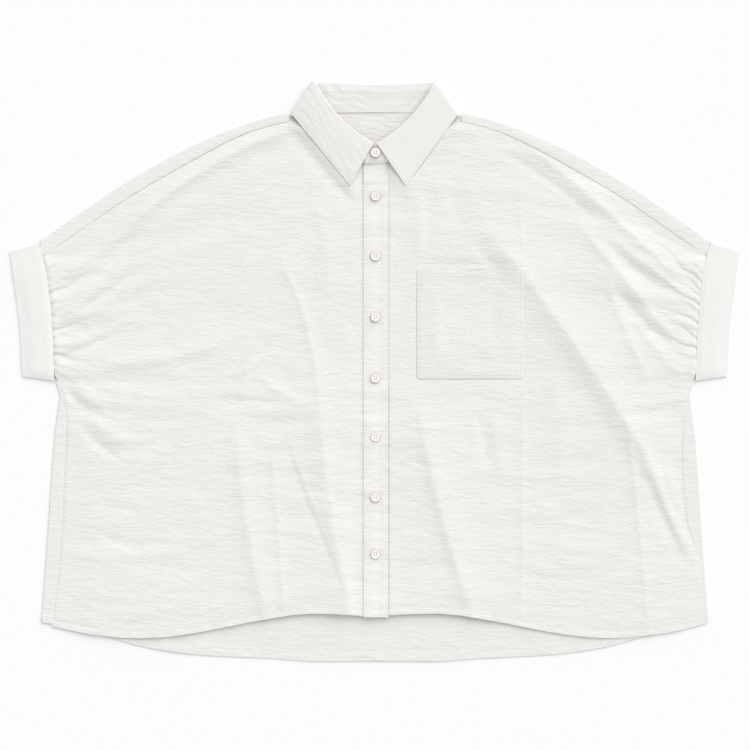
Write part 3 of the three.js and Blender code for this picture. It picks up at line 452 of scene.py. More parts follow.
def scaled_noise(nodes, links, scale, angle, detail, roughness=0.5, wander=0.0):
    """Noise stretched by a scale for each axis, after a turn about the vertical. It may wander."""
    where = nodes.new("ShaderNodeTexCoord")
    turn = nodes.new("ShaderNodeMapping")
    turn.inputs["Rotation"].default_value = (0, 0, angle)
    links.new(where.outputs["Object"], turn.inputs["Vector"])
    if wander:
        drift = nodes.new("ShaderNodeTexNoise")
        set_inputs(drift, {"Scale": 17.0, "Detail": 2.0, "Roughness": 0.6})
        links.new(where.outputs["Object"], drift.inputs["Vector"])
        shift = nodes.new("ShaderNodeVectorMath")
        shift.operation = "MULTIPLY_ADD"
        shift.inputs[1].default_value = (0, wander, 0)
        links.new(drift.outputs["Color"], shift.inputs[0])
        links.new(turn.outputs["Vector"], shift.inputs[2])
        turn = shift
    stretch = nodes.new("ShaderNodeMapping")
    stretch.inputs["Scale"].default_value = scale
    links.new(turn.outputs["Vector"], stretch.inputs["Vector"])
    grain = nodes.new("ShaderNodeTexNoise")
    distortion = 0.25 if wander else 0.0
    set_inputs(grain, {"Scale": 1.0, "Detail": detail, "Roughness": roughness, "Distortion": distortion})
    links.new(stretch.outputs["Vector"], grain.inputs["Vector"])
    return grain.outputs["Fac"]


def cloth_material(name, color, crinkles, angle=0.0, crinkle_trough_shade=0.035):
    """Crinkled washed cloth: long crinkles, short ones between them, a fine weave, and painted shade that
    darkens the colour in the long crinkles' troughs.
    """
    material, nodes, links, shader = new_material(name)
    set_inputs(shader, {"Roughness": 0.9, "Specular IOR Level": 0.2})
    set_inputs(shader, {"Sheen Weight": 0.12, "Sheen Roughness": 0.5})
    long_crinkle = scaled_noise(nodes, links, (54, 240, 68), angle, 3.0, 0.62, 0.018)
    short_crinkle = scaled_noise(nodes, links, (190, 520, 260), angle, 2.0, 0.55, 0.016)
    weave = scaled_noise(nodes, links, (1500, 1500, 1500), angle, 1.0)
    bumps = None
    for source, strength, distance in (
        (long_crinkle, crinkles, 0.002),
        (short_crinkle, crinkles, 0.0009),
        (weave, 0.35, 0.0002),
    ):
        bump = nodes.new("ShaderNodeBump")
        set_inputs(bump, {"Strength": strength, "Distance": distance})
        links.new(source, bump.inputs["Height"])
        if bumps is not None:
            links.new(bumps, bump.inputs["Normal"])
        bumps = bump.outputs["Normal"]
    links.new(bumps, shader.inputs["Normal"])
    # Painted shade: the colour darkens where the long crinkles' height is low, as if shade lay in their
    # troughs.
    tone = nodes.new("ShaderNodeMapRange")
    set_inputs(tone, {"From Min": 0.3, "From Max": 0.7})
    links.new(long_crinkle, tone.inputs["Value"])
    darker = [(1 - crinkle_trough_shade) * c for c in color]
    blend_colors(nodes, links, shader, tone.outputs["Result"], darker, color)
    return material


def button_material(name, low, high):
    material, nodes, links, shader = new_material(name)
    set_inputs(shader, {"Roughness": 0.32, "Coat Weight": 0.25})
    cloud = scaled_noise(nodes, links, (180, 180, 180), 0.4, 2.0)
    blend_colors(nodes, links, shader, cloud, low, high)
    return material


def thread_material():
    material, nodes, links, shader = new_material("thread_white")
    set_inputs(shader, {"Roughness": 0.7})
    twist = scaled_noise(nodes, links, (2600, 2600, 2600), 0.8, 1.0)
    blend_colors(nodes, links, shader, twist, (0.72, 0.71, 0.69), (0.84, 0.83, 0.81))
    return material


body_cloth = cloth_material("cloth_crinkled", (0.845, 0.83, 0.808), 0.55)
# Painted shade: the back's colour is a little darker than the fronts', for the shade under the fronts'
# layer.
back_cloth_painted_shade = cloth_material("cloth_back_painted_shade", (0.838, 0.822, 0.799), 0.5)
# Painted light: the cuffs' colour is lighter than the fronts', as the smooth cuffs show little shade.
cuff_cloth_painted_light = cloth_material("cloth_cuff", (0.862, 0.85, 0.832), 0.1, math.radians(82), 0.02)
# Painted light and shade: the collar's tones differ as the light falls. Both leaves are lighter than the
# fronts, the wearer's right one, turned from the light, a little darker than the left, and the stand in the
# neck's hollow is darker than the fronts.
collar_cloth_lit_and_shaded = {
    "right": cloth_material("cloth_collar_right", (0.857, 0.841, 0.819), 0.45, math.radians(58)),
    "left": cloth_material("cloth_collar_left", (0.86, 0.845, 0.824), 0.26, math.radians(-38)),
    "stand": cloth_material("cloth_stand", (0.835, 0.819, 0.796), 0.4),
}
band_cloth = cloth_material("cloth_band", (0.866, 0.852, 0.831), 0.5)
pearl = button_material("button_white", (0.90, 0.89, 0.875), (0.95, 0.945, 0.935))
# Painted shade: a brownish dark colour for the buttons' rims and holes, where shade falls.
button_painted_shade = button_material("button_shade_painted", (0.60, 0.54, 0.48), (0.68, 0.62, 0.56))
thread = thread_material()


def add_to_scene(name, data):
    thing = bpy.data.objects.new(name, data)
    bpy.context.scene.collection.objects.link(thing)
    return thing


def add_object(name, mesh, material):
    mesh.materials.append(material)
    mesh.shade_smooth()
    piece = add_to_scene(name, mesh)
    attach(piece, "root")
    return piece


def make_cloth(name, patches, thickness, material, nodes):
    """Joins grids of points into one sheet, gives it a thickness and puts it in its solid's place."""
    points = []
    faces = []
    count = 0
    for grid in patches:
        rows, columns = grid.shape[:2]
        index = count + np.arange(rows * columns).reshape(rows, columns)
        quads = (index[:-1, :-1], index[1:, :-1], index[1:, 1:], index[:-1, 1:])
        faces.extend(np.stack(quads, -1).reshape(-1, 4).tolist())
        points.append(grid.reshape(-1, 3))
        count += rows * columns
    mesh = bpy.data.meshes.new(name)
    mesh.from_pydata((np.concatenate(points) * MM).tolist(), [], faces)
    sheet = bmesh.new()
    sheet.from_mesh(mesh)
    bmesh.ops.remove_doubles(sheet, verts=sheet.verts, dist=0.02 * MM)
    bmesh.ops.recalc_face_normals(sheet, faces=sheet.faces)
    sheet.to_mesh(mesh)
    sheet.free()
    piece = add_object(name, mesh, material)
    wall = piece.modifiers.new("wall", "SOLIDIFY")
    wall.thickness = thickness * MM
    wall.offset = 0
    graph = bpy.context.evaluated_depsgraph_get()
    solid = bpy.data.meshes.new_from_object(piece.evaluated_get(graph))
    piece.modifiers.clear()
    piece.data = solid
    bpy.data.meshes.remove(mesh)
    solid.set_sharp_from_angle(angle=math.radians(60))
    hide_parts(*nodes)
    area = sum(face.area for face in solid.polygons) / 2
    print("cloth", name, "area", round(area, 4), "faces", len(solid.polygons))
    return piece


def stack(x, y, z):
    return np.stack(np.broadcast_arrays(x, y, z), -1).astype(float)


def panel_grid(inner_x, edge, low, high, columns, rows):
    """Points of a four-sided panel, from its straight inner edge to its outer edge."""
    u, v = np.meshgrid(columns, rows, indexing="ij")
    y = 20.0 + 0 * u
    # The edges depend on each other's points, so the grid settles in steps.
    for _ in range(40):
        x = mix(inner_x, edge(y), u)
        y = mix(y, mix(low(x), high(x), v), 0.7)
    return x, y


def make_front(side):
    sign = -1 if side == "right" else 1
    # The wearer's left front goes a little way under the band's edge, so no gap shows.
    inner_x = -UNDERLAP_X if side == "right" else PLACKET["x1"] - 1.2
    width = FRONT_WIDTH - inner_x
    close = np.linspace(0, 3.2, 5)[:-1] / width
    x, y = panel_grid(
        inner_x,
        front_edge[side],
        front_hem[side],
        front_top[side],
        np.concatenate([close, np.linspace(3.2 / width, 1, int(width / PITCH))]),
        np.linspace(0, 1, int(FRONT_LENGTH / PITCH)),
    )
    points = stack(sign * x, y, front_height(side, sign * x, y))
    return make_cloth(f"{side}_front", [points], CLOTH, body_cloth, [f"front_{side}"])


def make_placket():
    x = np.linspace(PLACKET["x0"], PLACKET["x1"], 15)[:, None]
    y = np.linspace(PLACKET["hem"], PLACKET["top"], 262)[None, :]
    x, y = np.broadcast_arrays(x, y)
    hem = front_hem["right"](UNDERLAP_X)
    below = front_height("right", np.minimum(x, UNDERLAP_X), np.maximum(y, hem))
    inside = np.minimum(x - PLACKET["x0"], PLACKET["x1"] - x)
    groove = -0.22 * bell(inside - 2.4, 1.1)
    swell = 0.25 * noise(x, y, 60, 13, 21) * smooth(inside / 3)
    for button_y in BUTTON_YS[1:]:
        away = np.hypot((x - BUTTON_X) / 12, (y - button_y) / 7)
        swell = swell - 0.28 * bell(away, 1)
        for crease_y in (-7.5, 6.5):
            crease = y - button_y - crease_y - 0.12 * x
            swell = swell + 0.16 * bell(crease, 1.5) * smooth(inside / 5)
    # A pressed fold above the second button, a narrower end over it and a sag under it.
    fold_y = 214
    top_fold = -0.6 * bell(y - fold_y, 1.3) + 0.3 * smooth((y - fold_y) / 3)
    top_step = -0.5 * smooth((x - 11.8) / 1.4) * smooth((y - (fold_y + 1)) / 3)
    sag = -0.7 * bell(x - 5, 4.5) * smooth((fold_y - 4 - y) / 12)
    points = stack(x, y, below + LAYER + groove + swell + top_fold + top_step + sag)
    return make_cloth("front_band", [points], CLOTH, band_cloth, ["placket"])


def pocket_height(x, y):
    inside = np.minimum(np.minimum(x - POCKET["x0"], POCKET["x1"] - x), y - POCKET["y0"])
    groove = -0.42 * bell(inside - 2.5, 0.9) - 0.9 * smooth(1 - inside / 1.3)
    belly = 0.5 * smooth(inside / 16) + 0.28 * noise(x, y, 24, 18, 31) * smooth(inside / 8)
    across = np.minimum(x - POCKET["x0"], POCKET["x1"] - x)
    mouth = 1.1 * smooth((y - POCKET["y1"] + 16) / 16) * smooth(across / 22)
    return front_height("left", x, y) + LAYER + 0.1 + groove + belly + mouth


def make_pocket():
    corner = POCKET["corner"]
    edge = np.array([0, 0.7, 1.4, 2.0, 2.6, 3.2, 4.0])
    middle = np.linspace(POCKET["x0"] + 5.5, POCKET["x1"] - 5.5, 64)
    x = np.concatenate([POCKET["x0"] + edge, middle, POCKET["x1"] - edge[::-1]])
    within = np.minimum(np.minimum(x - POCKET["x0"], POCKET["x1"] - x), corner)
    low = POCKET["y0"] + corner - np.sqrt(np.maximum(corner**2 - (corner - within) ** 2, 0))
    height = POCKET["y1"] - POCKET["y0"]
    v = np.concatenate([edge / height, np.linspace(5.5 / height, 1, 66)])[None, :]
    y = mix(low[:, None], POCKET["y1"] + 0 * v, v)
    x = x[:, None] + 0 * v
    points = stack(x, y, pocket_height(x, y))
    return make_cloth("chest_pocket", [points], CLOTH, body_cloth, ["pocket"])


def make_back():
    """The layer on the surface, turned over both shoulders and both sides as far as the seams."""
    columns = np.linspace(-1, 1, 195)
    hem_rows = np.linspace(0, 0.07, 18)
    rows = np.concatenate([hem_rows, np.linspace(0.07, 1, 104)[1:]])
    low = lambda x: back_low(np.abs(x))
    high = lambda x: back_top(np.abs(x))
    x, y = panel_grid(0, back_edge, low, high, columns, rows)
    above = y - low(x)
    still = smooth((back_edge(y) - np.abs(x)) / 6) * smooth((high(x) - y) / 6)
    neck = np.exp(-((x / 60) ** 2) - ((y - 285) / 28) ** 2)
    relief = 0.3 + crinkle(x, y, 0, 41) * (1 + 1.3 * neck)
    z = FLOOR_Z + collar_lift(x, y) + np.maximum(relief, 0) * still
    z = z + np.maximum(hem_relief(above, x, BACK_HEM_BAND, 12), 0)
    patches = [stack(x, y, z)]

    angles = np.radians(np.linspace(0, 180, 9))
    shares = np.linspace(0, 1, 13)[1:]
    top = patches[0][:, -1]
    for sign, side in ((-1, "right"), (1, "left")):
        # Over the shoulder, from the first column beside the collar.
        line = top[sign * top[:, 0] >= NECK_X]
        across, start, base = np.abs(line[:, 0]), line[:, 1], line[:, 2]
        lean = shoulder_lean(np.maximum(across, NECK_X + 4))
        slant = np.hypot(1, (front_top[side](across + 2) - front_top[side](across - 2)) / 4)
        seam = front_top[side](across) - SEAM_LAP * slant
        outer = ((across - NECK_X) / (across.max() - NECK_X)) ** 3
        over = []
        for angle in angles:
            row_y = start + TURN * lean * math.sin(angle)
            over.append((row_y, base + TURN * (1 - math.cos(angle))))
        # The strip dips under the front's edge over its last millimetres.
        width = np.maximum((start - seam) / slant, 5)
        ways = [share * (1 - 3.4 / width) for share in shares]
        ways += [1 - to_end / width for to_end in (2.8, 2.4, 2.1, 1.8, 1.4, 0.7, 0)]
        for share in ways:
            puff = 0.7 * np.sin(math.pi * share) * (0.6 + 0.4 * noise(across, start, 33, 50, 51))
            tucked = 1.05 * smooth((2.45 - (1 - share) * width) / 0.9)
            over.append((mix(start, seam, share), base + 2 * TURN + puff - tucked))
        grid = []
        for row_y, row_z in over:
            row_x = across + (back_edge(row_y) - back_edge(start)) * outer
            grid.append(stack(sign * row_x, row_y, row_z))
        patches.append(np.array(grid))

        # Round the side, below the cuff.
        border = patches[0][-1 if sign > 0 else 0]
        line = border[border[:, 1] <= UNDERARM_Y + 1.5]
        row_y, start_x = line[:, 1], np.abs(line[:, 0])
        seam_x = front_edge[side](row_y) - SEAM_LAP
        grid = [
            stack(sign * (start_x + TURN * math.sin(a)), row_y, line[:, 2] + TURN * (1 - math.cos(a)))
            for a in angles
        ]
        for share in shares:
            tucked = 0.9 * smooth((share - 0.82) / 0.14)
            grid.append(stack(sign * mix(start_x, seam_x, share), row_y, line[:, 2] + 2 * TURN - tucked))
        patches.append(np.array(grid))
    return make_cloth("back_panel", patches, CLOTH, back_cloth_painted_shade, ["back"])


def make_cuff(side, sign):
    """A flattened ring: the upper layer, a turned edge, the lower layer and the other turned edge."""
    node = f"cuff_{side}"
    nearest, furthest = (np.min, np.max) if sign > 0 else (np.max, np.min)
    seam_top, seam_foot = CUFF["seam_top"] - CUFF_TURN["seam"], CUFF["seam_foot"] + CUFF_TURN["seam"]
    open_top, open_foot = CUFF["open_top"] - CUFF_TURN["opening"], CUFF["open_foot"] + CUFF_TURN["opening"]
    seam_x = edge_line(node, 1, seam_foot, seam_top, nearest)
    open_x = edge_line(node, 1, open_foot, open_top, furthest)
    across = np.linspace(0, 1, 20)[:, None]
    low = CUFF_CLOTH / 2 + 0.05
    radius = mix(CUFF_TURN["seam"], CUFF_TURN["opening"], across)

    def layer(down):
        seam_y, open_y = mix(seam_top, seam_foot, down), mix(open_top, open_foot, down)
        x = mix(np.abs(seam_x(seam_y)), np.abs(open_x(open_y)), across)
        return x, mix(seam_y, open_y, across)

    def turned(down, start, inner):
        x, y = layer(np.array([[down]]))
        ix, iy = layer(np.array([[inner]]))
        length = np.hypot(x - ix, y - iy)
        out_x, out_y = (x - ix) / length, (y - iy) / length
        angle = np.radians(np.linspace(0, 180, 11))[None, :]
        z = low + radius * (1 + start * np.cos(angle))
        return stack(x + out_x * radius * np.sin(angle), y + out_y * radius * np.sin(angle), z)

    down = np.linspace(0, 1, 70)[None, :]
    x, y = layer(down)
    calm = smooth(down / 0.06) * smooth((1 - down) / 0.06) * smooth(across / 0.12)
    relief = 0.26 * noise(x, y, 16, 34, 61 + sign) + 0.1 * noise(x, y, 6, 9, 71 + sign)
    seam_groove = -0.3 * bell(across - 0.05, 0.03)
    edge_sink = -0.15 * smooth((across - 0.93) / 0.07)
    foot = np.clip((1 - down) / 0.07, 0, 1)
    bulge = 1.8 * (1 - (1 - foot) ** 2.2) * smooth(down / 0.3) * smooth((1 - across) / 0.45)
    bulge = bulge * smooth((across + 0.12) / 0.3)
    upper_z = low + 2 * radius + relief * calm + bulge + seam_groove + edge_sink
    upper = stack(x, y, upper_z)
    lower = stack(*layer(down[:, ::-1]), low)
    first, last = turned(1.0, 1, 0.97), turned(0.0, -1, 0.03)
    patches = [upper, first, lower, last]
    # The upper layer's relief fades to nothing at its ends, so the turned edges meet it.
    first[:, 0], last[:, -1] = upper[:, -1], upper[:, 0]
    for patch in patches:
        patch[..., 0] *= sign
    return make_cloth(f"{side}_cuff", patches, CUFF_CLOTH, cuff_cloth_painted_light, [node])


def smooth_line(rows):
    """A smooth curve through the rows' points, as a function of their first column."""
    xs, ys = (np.array(column, float) for column in zip(*sorted(rows)))
    slopes = np.gradient(ys, xs)

    def at(x):
        i = np.clip(np.searchsorted(xs, x) - 1, 0, len(xs) - 2)
        step = xs[i + 1] - xs[i]
        t = np.clip((x - xs[i]) / step, 0, 1)
        h = smooth(t)
        bend = step * t * (1 - t) * (slopes[i] * (1 - t) - slopes[i + 1] * t)
        return ys[i] * (1 - h) + ys[i + 1] * h + bend

    return at


def collar_half(side):
    """Half of the collar, from the centre front over the side of the neck to the centre back."""
    tip = np.array(COLLAR["tip"][side])
    meet, top, foot = (np.array(COLLAR[k]) for k in ("meet", "fold_top", "fold_foot"))
    up = (top - foot) / np.linalg.norm(top - foot)
    out = np.array([up[1], -up[0]])
    neck_z = FLOOR_Z + 2 * LAYER
    over = COLLAR["over"]
    under = {"edge": FLOOR_Z, "roll": FLOOR_Z, "inner": neck_z + 0.5, "neck": neck_z}
    radius = {k: (over[k] - under[k]) / 2 for k in over}
    centre = {
        "roll": top - out * radius["roll"] - up,
        "edge": foot - out * radius["edge"],
    }
    centre["inner"] = centre["roll"]
    centre["neck"] = mix(centre["roll"], centre["edge"], 0.93)
    roll_line = (centre["roll"] - meet) / np.linalg.norm(centre["roll"] - meet)
    inward = np.array([-roll_line[1], roll_line[0]])
    stand_neck = smooth_line([*STAND_NECK, tuple(centre["neck"])])
    net = {k: [] for k in ("edge", "roll", "inner", "neck", "crest")}

    def put(**points):
        for key, point in points.items():
            net[key].append(point)

    for f in np.linspace(0, 1, 73)[:-1]:
        line = mix(meet, centre["roll"], f) - inward * COLLAR["bow"] * 4 * f * (1 - f)
        neck_x = mix(3, centre["neck"][0], f**0.92)
        start = max(1 - f / 0.25, 0)
        inner_z = mix(7.6, over["inner"], f) - (1.3 * start if side == "right" else 0)
        lapped = 6.3 if side == "left" else 5.3
        neck_height = mix(mix(5.9, over["neck"], max(f, 0.25)), lapped, start)
        edge_z = mix(COLLAR["tip_height"], over["edge"], f) + 0.6 * math.exp(-f / 0.05)
        put(
            edge=(*mix(tip, centre["edge"], f), edge_z),
            roll=(*line, mix(9.6, over["roll"], f)),
            inner=(*line, inner_z),
            neck=(neck_x, stand_neck(neck_x), neck_height),
            crest=(*inward, 0),
        )
    for angle in np.radians(np.linspace(0, 180, 15)):
        spot = {}
        for key in ("edge", "roll", "inner", "neck"):
            plan = centre[key] + out * radius[key] * math.sin(angle)
            if key in ("roll", "inner"):
                plan = plan + np.array([0, COLLAR["corner_rise"] * max(2 * angle / math.pi - 1, 0)])
            spot[key] = (*plan, (over[key] + under[key]) / 2 + radius[key] * math.cos(angle))
        put(**spot, crest=(*up, 0))
    back_roll_y = COLLAR["roll_back"] - (under["inner"] - under["roll"]) / 2
    for g in np.linspace(0, 1, 31)[1:]:
        ease = 1 - (1 - g) ** 2
        x = {k: mix(centre[k][0], 0, g) for k in centre}
        crest = mix(up, np.array([0, 1.0]), min(g * 3, 1))
        rise = COLLAR["corner_rise"] * (1 - g) ** 1.5
        put(
            edge=(x["edge"], mix(centre["edge"][1], COLLAR["edge_back"], ease), under["edge"]),
            roll=(x["roll"], mix(centre["roll"][1], back_roll_y, ease) + rise, under["roll"]),
            inner=(x["roll"], mix(centre["roll"][1], back_roll_y, ease) + rise, under["inner"]),
            neck=(x["neck"], mix(centre["neck"][1], 298, ease), under["neck"]),
            crest=(*crest, 0),
        )
    return {k: np.array(v) for k, v in net.items()}


def collar_net():
    right, left = collar_half("right"), collar_half("left")
    mirror = np.array([-1, 1, 1])
    return {k: np.concatenate([right[k] * mirror, left[k][::-1][1:]]) for k in left}


def seam_points(net, away):
    whole = np.linalg.norm(net["neck"] - net["inner"], axis=1)[:, None]
    return mix(net["neck"], net["inner"], COLLAR["seam_share"] + away / whole)


def leaf_point(net, t):
    """A point of the fall's outer leaf, from its edge (0) to its roll (1)."""
    p = mix(net["edge"], net["roll"], t)
    upper = smooth((net["edge"][:, 2] - 4.6) / 1.4)
    belly = 0.7 * 4 * t * (1 - t)
    # The wearer's right leaf is crumpled along its length, the left one lies smooth.
    c, s = math.cos(math.radians(-58)), math.sin(math.radians(-58))
    along = p[:, 0] * c + p[:, 1] * s
    across = p[:, 1] * c - p[:, 0] * s
    across = across + 2.5 * noise(p[:, 0], p[:, 1], 17, 17, 84)
    rough = 0.2 * noise(along, across, 22, 4.6, 82) + 0.22 * noise(along, across, 40, 9, 83)
    fine = np.where(p[:, 0] < 0, rough, 0.12 * noise(p[:, 0], p[:, 1], 9, 9, 81))
    groove = -0.22 * bell(t - 0.05, 0.022)
    lifted = p.copy()
    lifted[:, 2] += upper * (belly + fine * smooth(t / 0.15) * smooth((1 - t) / 0.2) + groove)
    return lifted


def make_fall(net):
    rows = [leaf_point(net, t) for t in np.linspace(0, 1, 45)]
    middle, half = (net["roll"] + net["inner"]) / 2, (net["roll"] - net["inner"]) / 2
    size = np.linalg.norm(half, axis=1)[:, None]
    crest = net["crest"] / np.linalg.norm(net["crest"], axis=1)[:, None]
    for angle in np.radians(np.linspace(0, 180, 9)[1:-1]):
        rows.append(middle + half * math.cos(angle) + crest * size * math.sin(angle))
    seam = seam_points(net, SEAM_GAP / 2)
    for t in np.linspace(0, 1, 12):
        row = mix(net["inner"], seam, t)
        x, y = row[:, 0], row[:, 1]
        # Upright creases beside the wearer's right corner, and shallow ones along the back.
        upright = bell(x + 50, 16) * (y > 300)
        crease = 1.1 * upright * noise(x, y, 3.5, 30, 87) + 0.4 * noise(x, y, 13, 6, 88)
        row[:, 2] += crease * math.sin(math.pi * t) - 0.2 * smooth((t - 0.8) / 0.2)
        rows.append(row)
    fall = make_cloth("collar", [np.array(rows)], CLOTH, collar_cloth_lit_and_shaded["right"], ["collar_fall"])
    # The wearer's left half takes its own cloth: a lighter colour, which is painted light, and its own
    # crinkle.
    fall.data.materials.append(collar_cloth_lit_and_shaded["left"])
    faces = fall.data.polygons
    faces.foreach_set("material_index", [int(face.center.x > 0) for face in faces])
    return fall


def make_stand(net):
    net = {k: v.copy() for k, v in net.items()}
    for end, sign in ((0, 1), (-1, -1)):
        lap = {k: v[end].copy() for k, v in net.items()}
        lap["neck"][0] = sign * STAND_LAP
        lap["inner"] += np.array([sign * STAND_LAP - lap["inner"][0], -2, -0.2])
        for key, value in lap.items():
            parts = [value[None], net[key]] if end == 0 else [net[key], value[None]]
            net[key] = np.concatenate(parts)
    seam = seam_points(net, -SEAM_GAP / 2)
    rows = []
    for t in np.linspace(0, 1, 20):
        row = mix(net["neck"], seam, t)
        row[:, 2] -= 1.9 * math.exp(-t / 0.14) * bell(row[:, 0], 24) * (row[:, 1] < 270)
        row[:, 2] += 0.55 * noise(row[:, 0], row[:, 1] + 0.5 * row[:, 0], 17, 5, 86) * math.sin(math.pi * t)
        rows.append(row)
    return make_cloth("neck_band", [np.array(rows)], CLOTH, collar_cloth_lit_and_shaded["stand"], ["collar_stand"])


def along_path(path, pitch):
    """Points at an even pitch along a path, and the direction of the path at each."""
    steps = np.linalg.norm(np.diff(path, axis=0), axis=1)
    length = np.concatenate([[0], np.cumsum(steps)])
    middle = np.arange(pitch / 2, length[-1] + pitch / 4, pitch)
    low, at, high = (
        np.stack([np.interp(middle + shift, length, path[:, k]) for k in range(3)], -1)
        for shift in (-pitch / 3, 0, pitch / 3)
    )
    ahead = high - low
    return at, ahead / np.linalg.norm(ahead, axis=1)[:, None]


def make_stitches(name, paths, pitch=3.4, stitch=2.3, radius=0.19):
    """Rows of short stitches. Both ends of each one sink into the cloth."""
    sections = ((-0.5, 0.15, -0.3), (-0.3, 1.0, 0.05), (0.3, 1.0, 0.05), (0.5, 0.15, -0.3))
    points = []
    faces = []
    for path in paths:
        for spot, along in zip(*along_path(path, pitch)):
            beside = np.cross((0, 0, 1), along)
            beside /= np.linalg.norm(beside)
            above = np.cross(along, beside)
            first = len(points)
            for place, size, rise in sections:
                centre = spot + along * place * stitch + above * rise
                for turn in (0, 72, 144, 216, 288):
                    a = math.radians(turn)
                    ring = beside * math.cos(a) * 1.25 + above * math.sin(a)
                    points.append(centre + ring * radius * size)
            for ring in range(3):
                for k in range(5):
                    a, b = first + 5 * ring + k, first + 5 * ring + (k + 1) % 5
                    faces.append((a, b, b + 5, a + 5))
            faces.append([first + k for k in range(4, -1, -1)])
            faces.append([first + 15 + k for k in range(5)])
    mesh = bpy.data.meshes.new(name)
    mesh.from_pydata((np.array(points) * MM).tolist(), [], faces)
    return add_object(name, mesh, thread)


def on_front(side, x, y):
    x, y = np.broadcast_arrays(np.asarray(x, float), np.asarray(y, float))
    return stack(x, y, front_height(side, x, y) + CLOTH / 2 + 0.08)


def sew_body():
    """The stitching of the hems, the band and the pocket."""
    paths = []
    for side, sign, start in (("right", -1, 14.0), ("left", 1, 18.0)):
        x = np.linspace(start, hem_corner_x[side], 220)
        paths.append(on_front(side, sign * x, front_hem[side](x) + FRONT_HEM_BAND))
    make_stitches("stitches_front_hem", paths)

    x = np.linspace(-330, 330, 400)
    y = back_low(np.abs(x)) + BACK_HEM_BAND
    front_low = np.where(x < 0, front_hem["right"](np.abs(x)), front_hem["left"](np.abs(x)))
    shown = y < front_low + 6
    z = FLOOR_Z + CLOTH / 2 + 0.38 + 0 * x
    make_stitches("stitches_back_hem", [stack(x, y, z)[shown]])

    y = np.linspace(PLACKET["hem"] + 1, PLACKET["top"] - 3, 300)
    band_z = front_height("right", np.zeros_like(y), y) + LAYER + CLOTH / 2 - 0.1
    band_inset = 2.4
    lines = [stack(x, y, band_z) for x in (PLACKET["x0"] + band_inset, PLACKET["x1"] - band_inset)]
    make_stitches("stitches_band", lines)

    inset = 2.5
    x0, x1 = POCKET["x0"] + inset, POCKET["x1"] - inset
    y0, y1 = POCKET["y0"] + inset, POCKET["y1"] - 0.5
    bend = POCKET["corner"] - inset
    turn = np.radians(np.linspace(0, 90, 5))
    arc_x, arc_y = bend * (1 - np.cos(turn)), bend * (1 - np.sin(turn))
    down = np.linspace(y1, y0 + bend, 60)
    over = np.linspace(x0 + bend, x1 - bend, 60)[1:-1]
    px = np.concatenate([0 * down + x0, x0 + arc_x, over, x1 - arc_x[::-1], 0 * down + x1])
    py = np.concatenate([down, y0 + arc_y, 0 * over + y0, y0 + arc_y[::-1], down[::-1]])
    make_stitches("stitches_pocket", [stack(px, py, pocket_height(px, py) + CLOTH / 2 + 0.02)])


def sew_collar(net):
    upper = net["edge"][:, 2] > 5.6
    edge = leaf_point(net, 0.05)
    paths = []
    for half in (net["edge"][:, 0] < 0, net["edge"][:, 0] >= 0):
        line = edge[upper & half] + np.array([0, 0, ABOVE_CLOTH])
        tip_end = 0 if half[0] else -1
        inner = leaf_point(net, 0.5)[tip_end]
        roll = leaf_point(net, 0.94)[tip_end]
        shift = np.array([2.4 if tip_end else -2.4, 1.2, ABOVE_CLOTH])
        front = np.array([edge[tip_end] + shift, inner + shift, roll + shift])
        parts = [front[::-1], line] if tip_end == 0 else [line, front]
        paths.append(np.concatenate(parts))
    make_stitches("stitches_collar", paths)
    seam = seam_points(net, 2.2)
    shown = (seam[:, 1] > 300) & (seam[:, 2] < 4.5)
    make_stitches("stitches_neck", [seam[shown] + np.array([0, 0, ABOVE_CLOTH])])


def button_mesh():
    """A button with a rounded rim, a dished middle and four holes."""
    r, top = BUTTON_RADIUS, BUTTON_HEIGHT
    side = ((r - 1.4, 0), (r - 0.5, 0.3), (r, 1.0), (r - 0.1, 1.7))
    rim = ((r - 0.75, top), (r - 1.3, top - 0.05), (r - 1.9, top - 0.22))
    shape = bmesh.new()
    rings = []
    count = 40
    for radius, z in (*side, *rim):
        ring = []
        for k in range(count):
            a = 2 * math.pi * k / count
            ring.append(shape.verts.new((radius * math.cos(a), radius * math.sin(a), z)))
        rings.append(ring)
    for low, high in zip(rings, rings[1:]):
        for k in range(count):
            n = (k + 1) % count
            shape.faces.new((low[k], low[n], high[n], high[k]))
    shape.faces.new(rings[0][::-1])
    shape.faces.new(rings[-1])
    mesh = bpy.data.meshes.new("button_blank")
    shape.to_mesh(mesh)
    shape.free()
    blank = add_to_scene("button_blank", mesh)
    drills = bmesh.new()
    hole = {"radius1": 0.62, "radius2": 0.62, "depth": 3 * top}
    for x in (-HOLE_SPREAD, HOLE_SPREAD):
        for y in (-HOLE_SPREAD, HOLE_SPREAD):
            found = bmesh.ops.create_cone(drills, cap_ends=True, segments=14, **hole)
            bmesh.ops.translate(drills, verts=found["verts"], vec=(x, y, 0))
    drill_mesh = bpy.data.meshes.new("button_drill")
    drills.to_mesh(drill_mesh)
    drills.free()
    drill = add_to_scene("button_drill", drill_mesh)
    cut = blank.modifiers.new("holes", "BOOLEAN")
    cut.operation = "DIFFERENCE"
    cut.object = drill
    graph = bpy.context.evaluated_depsgraph_get()
    result = bpy.data.meshes.new_from_object(blank.evaluated_get(graph))
    for scrap in (blank, drill):
        bpy.data.objects.remove(scrap)
    return result


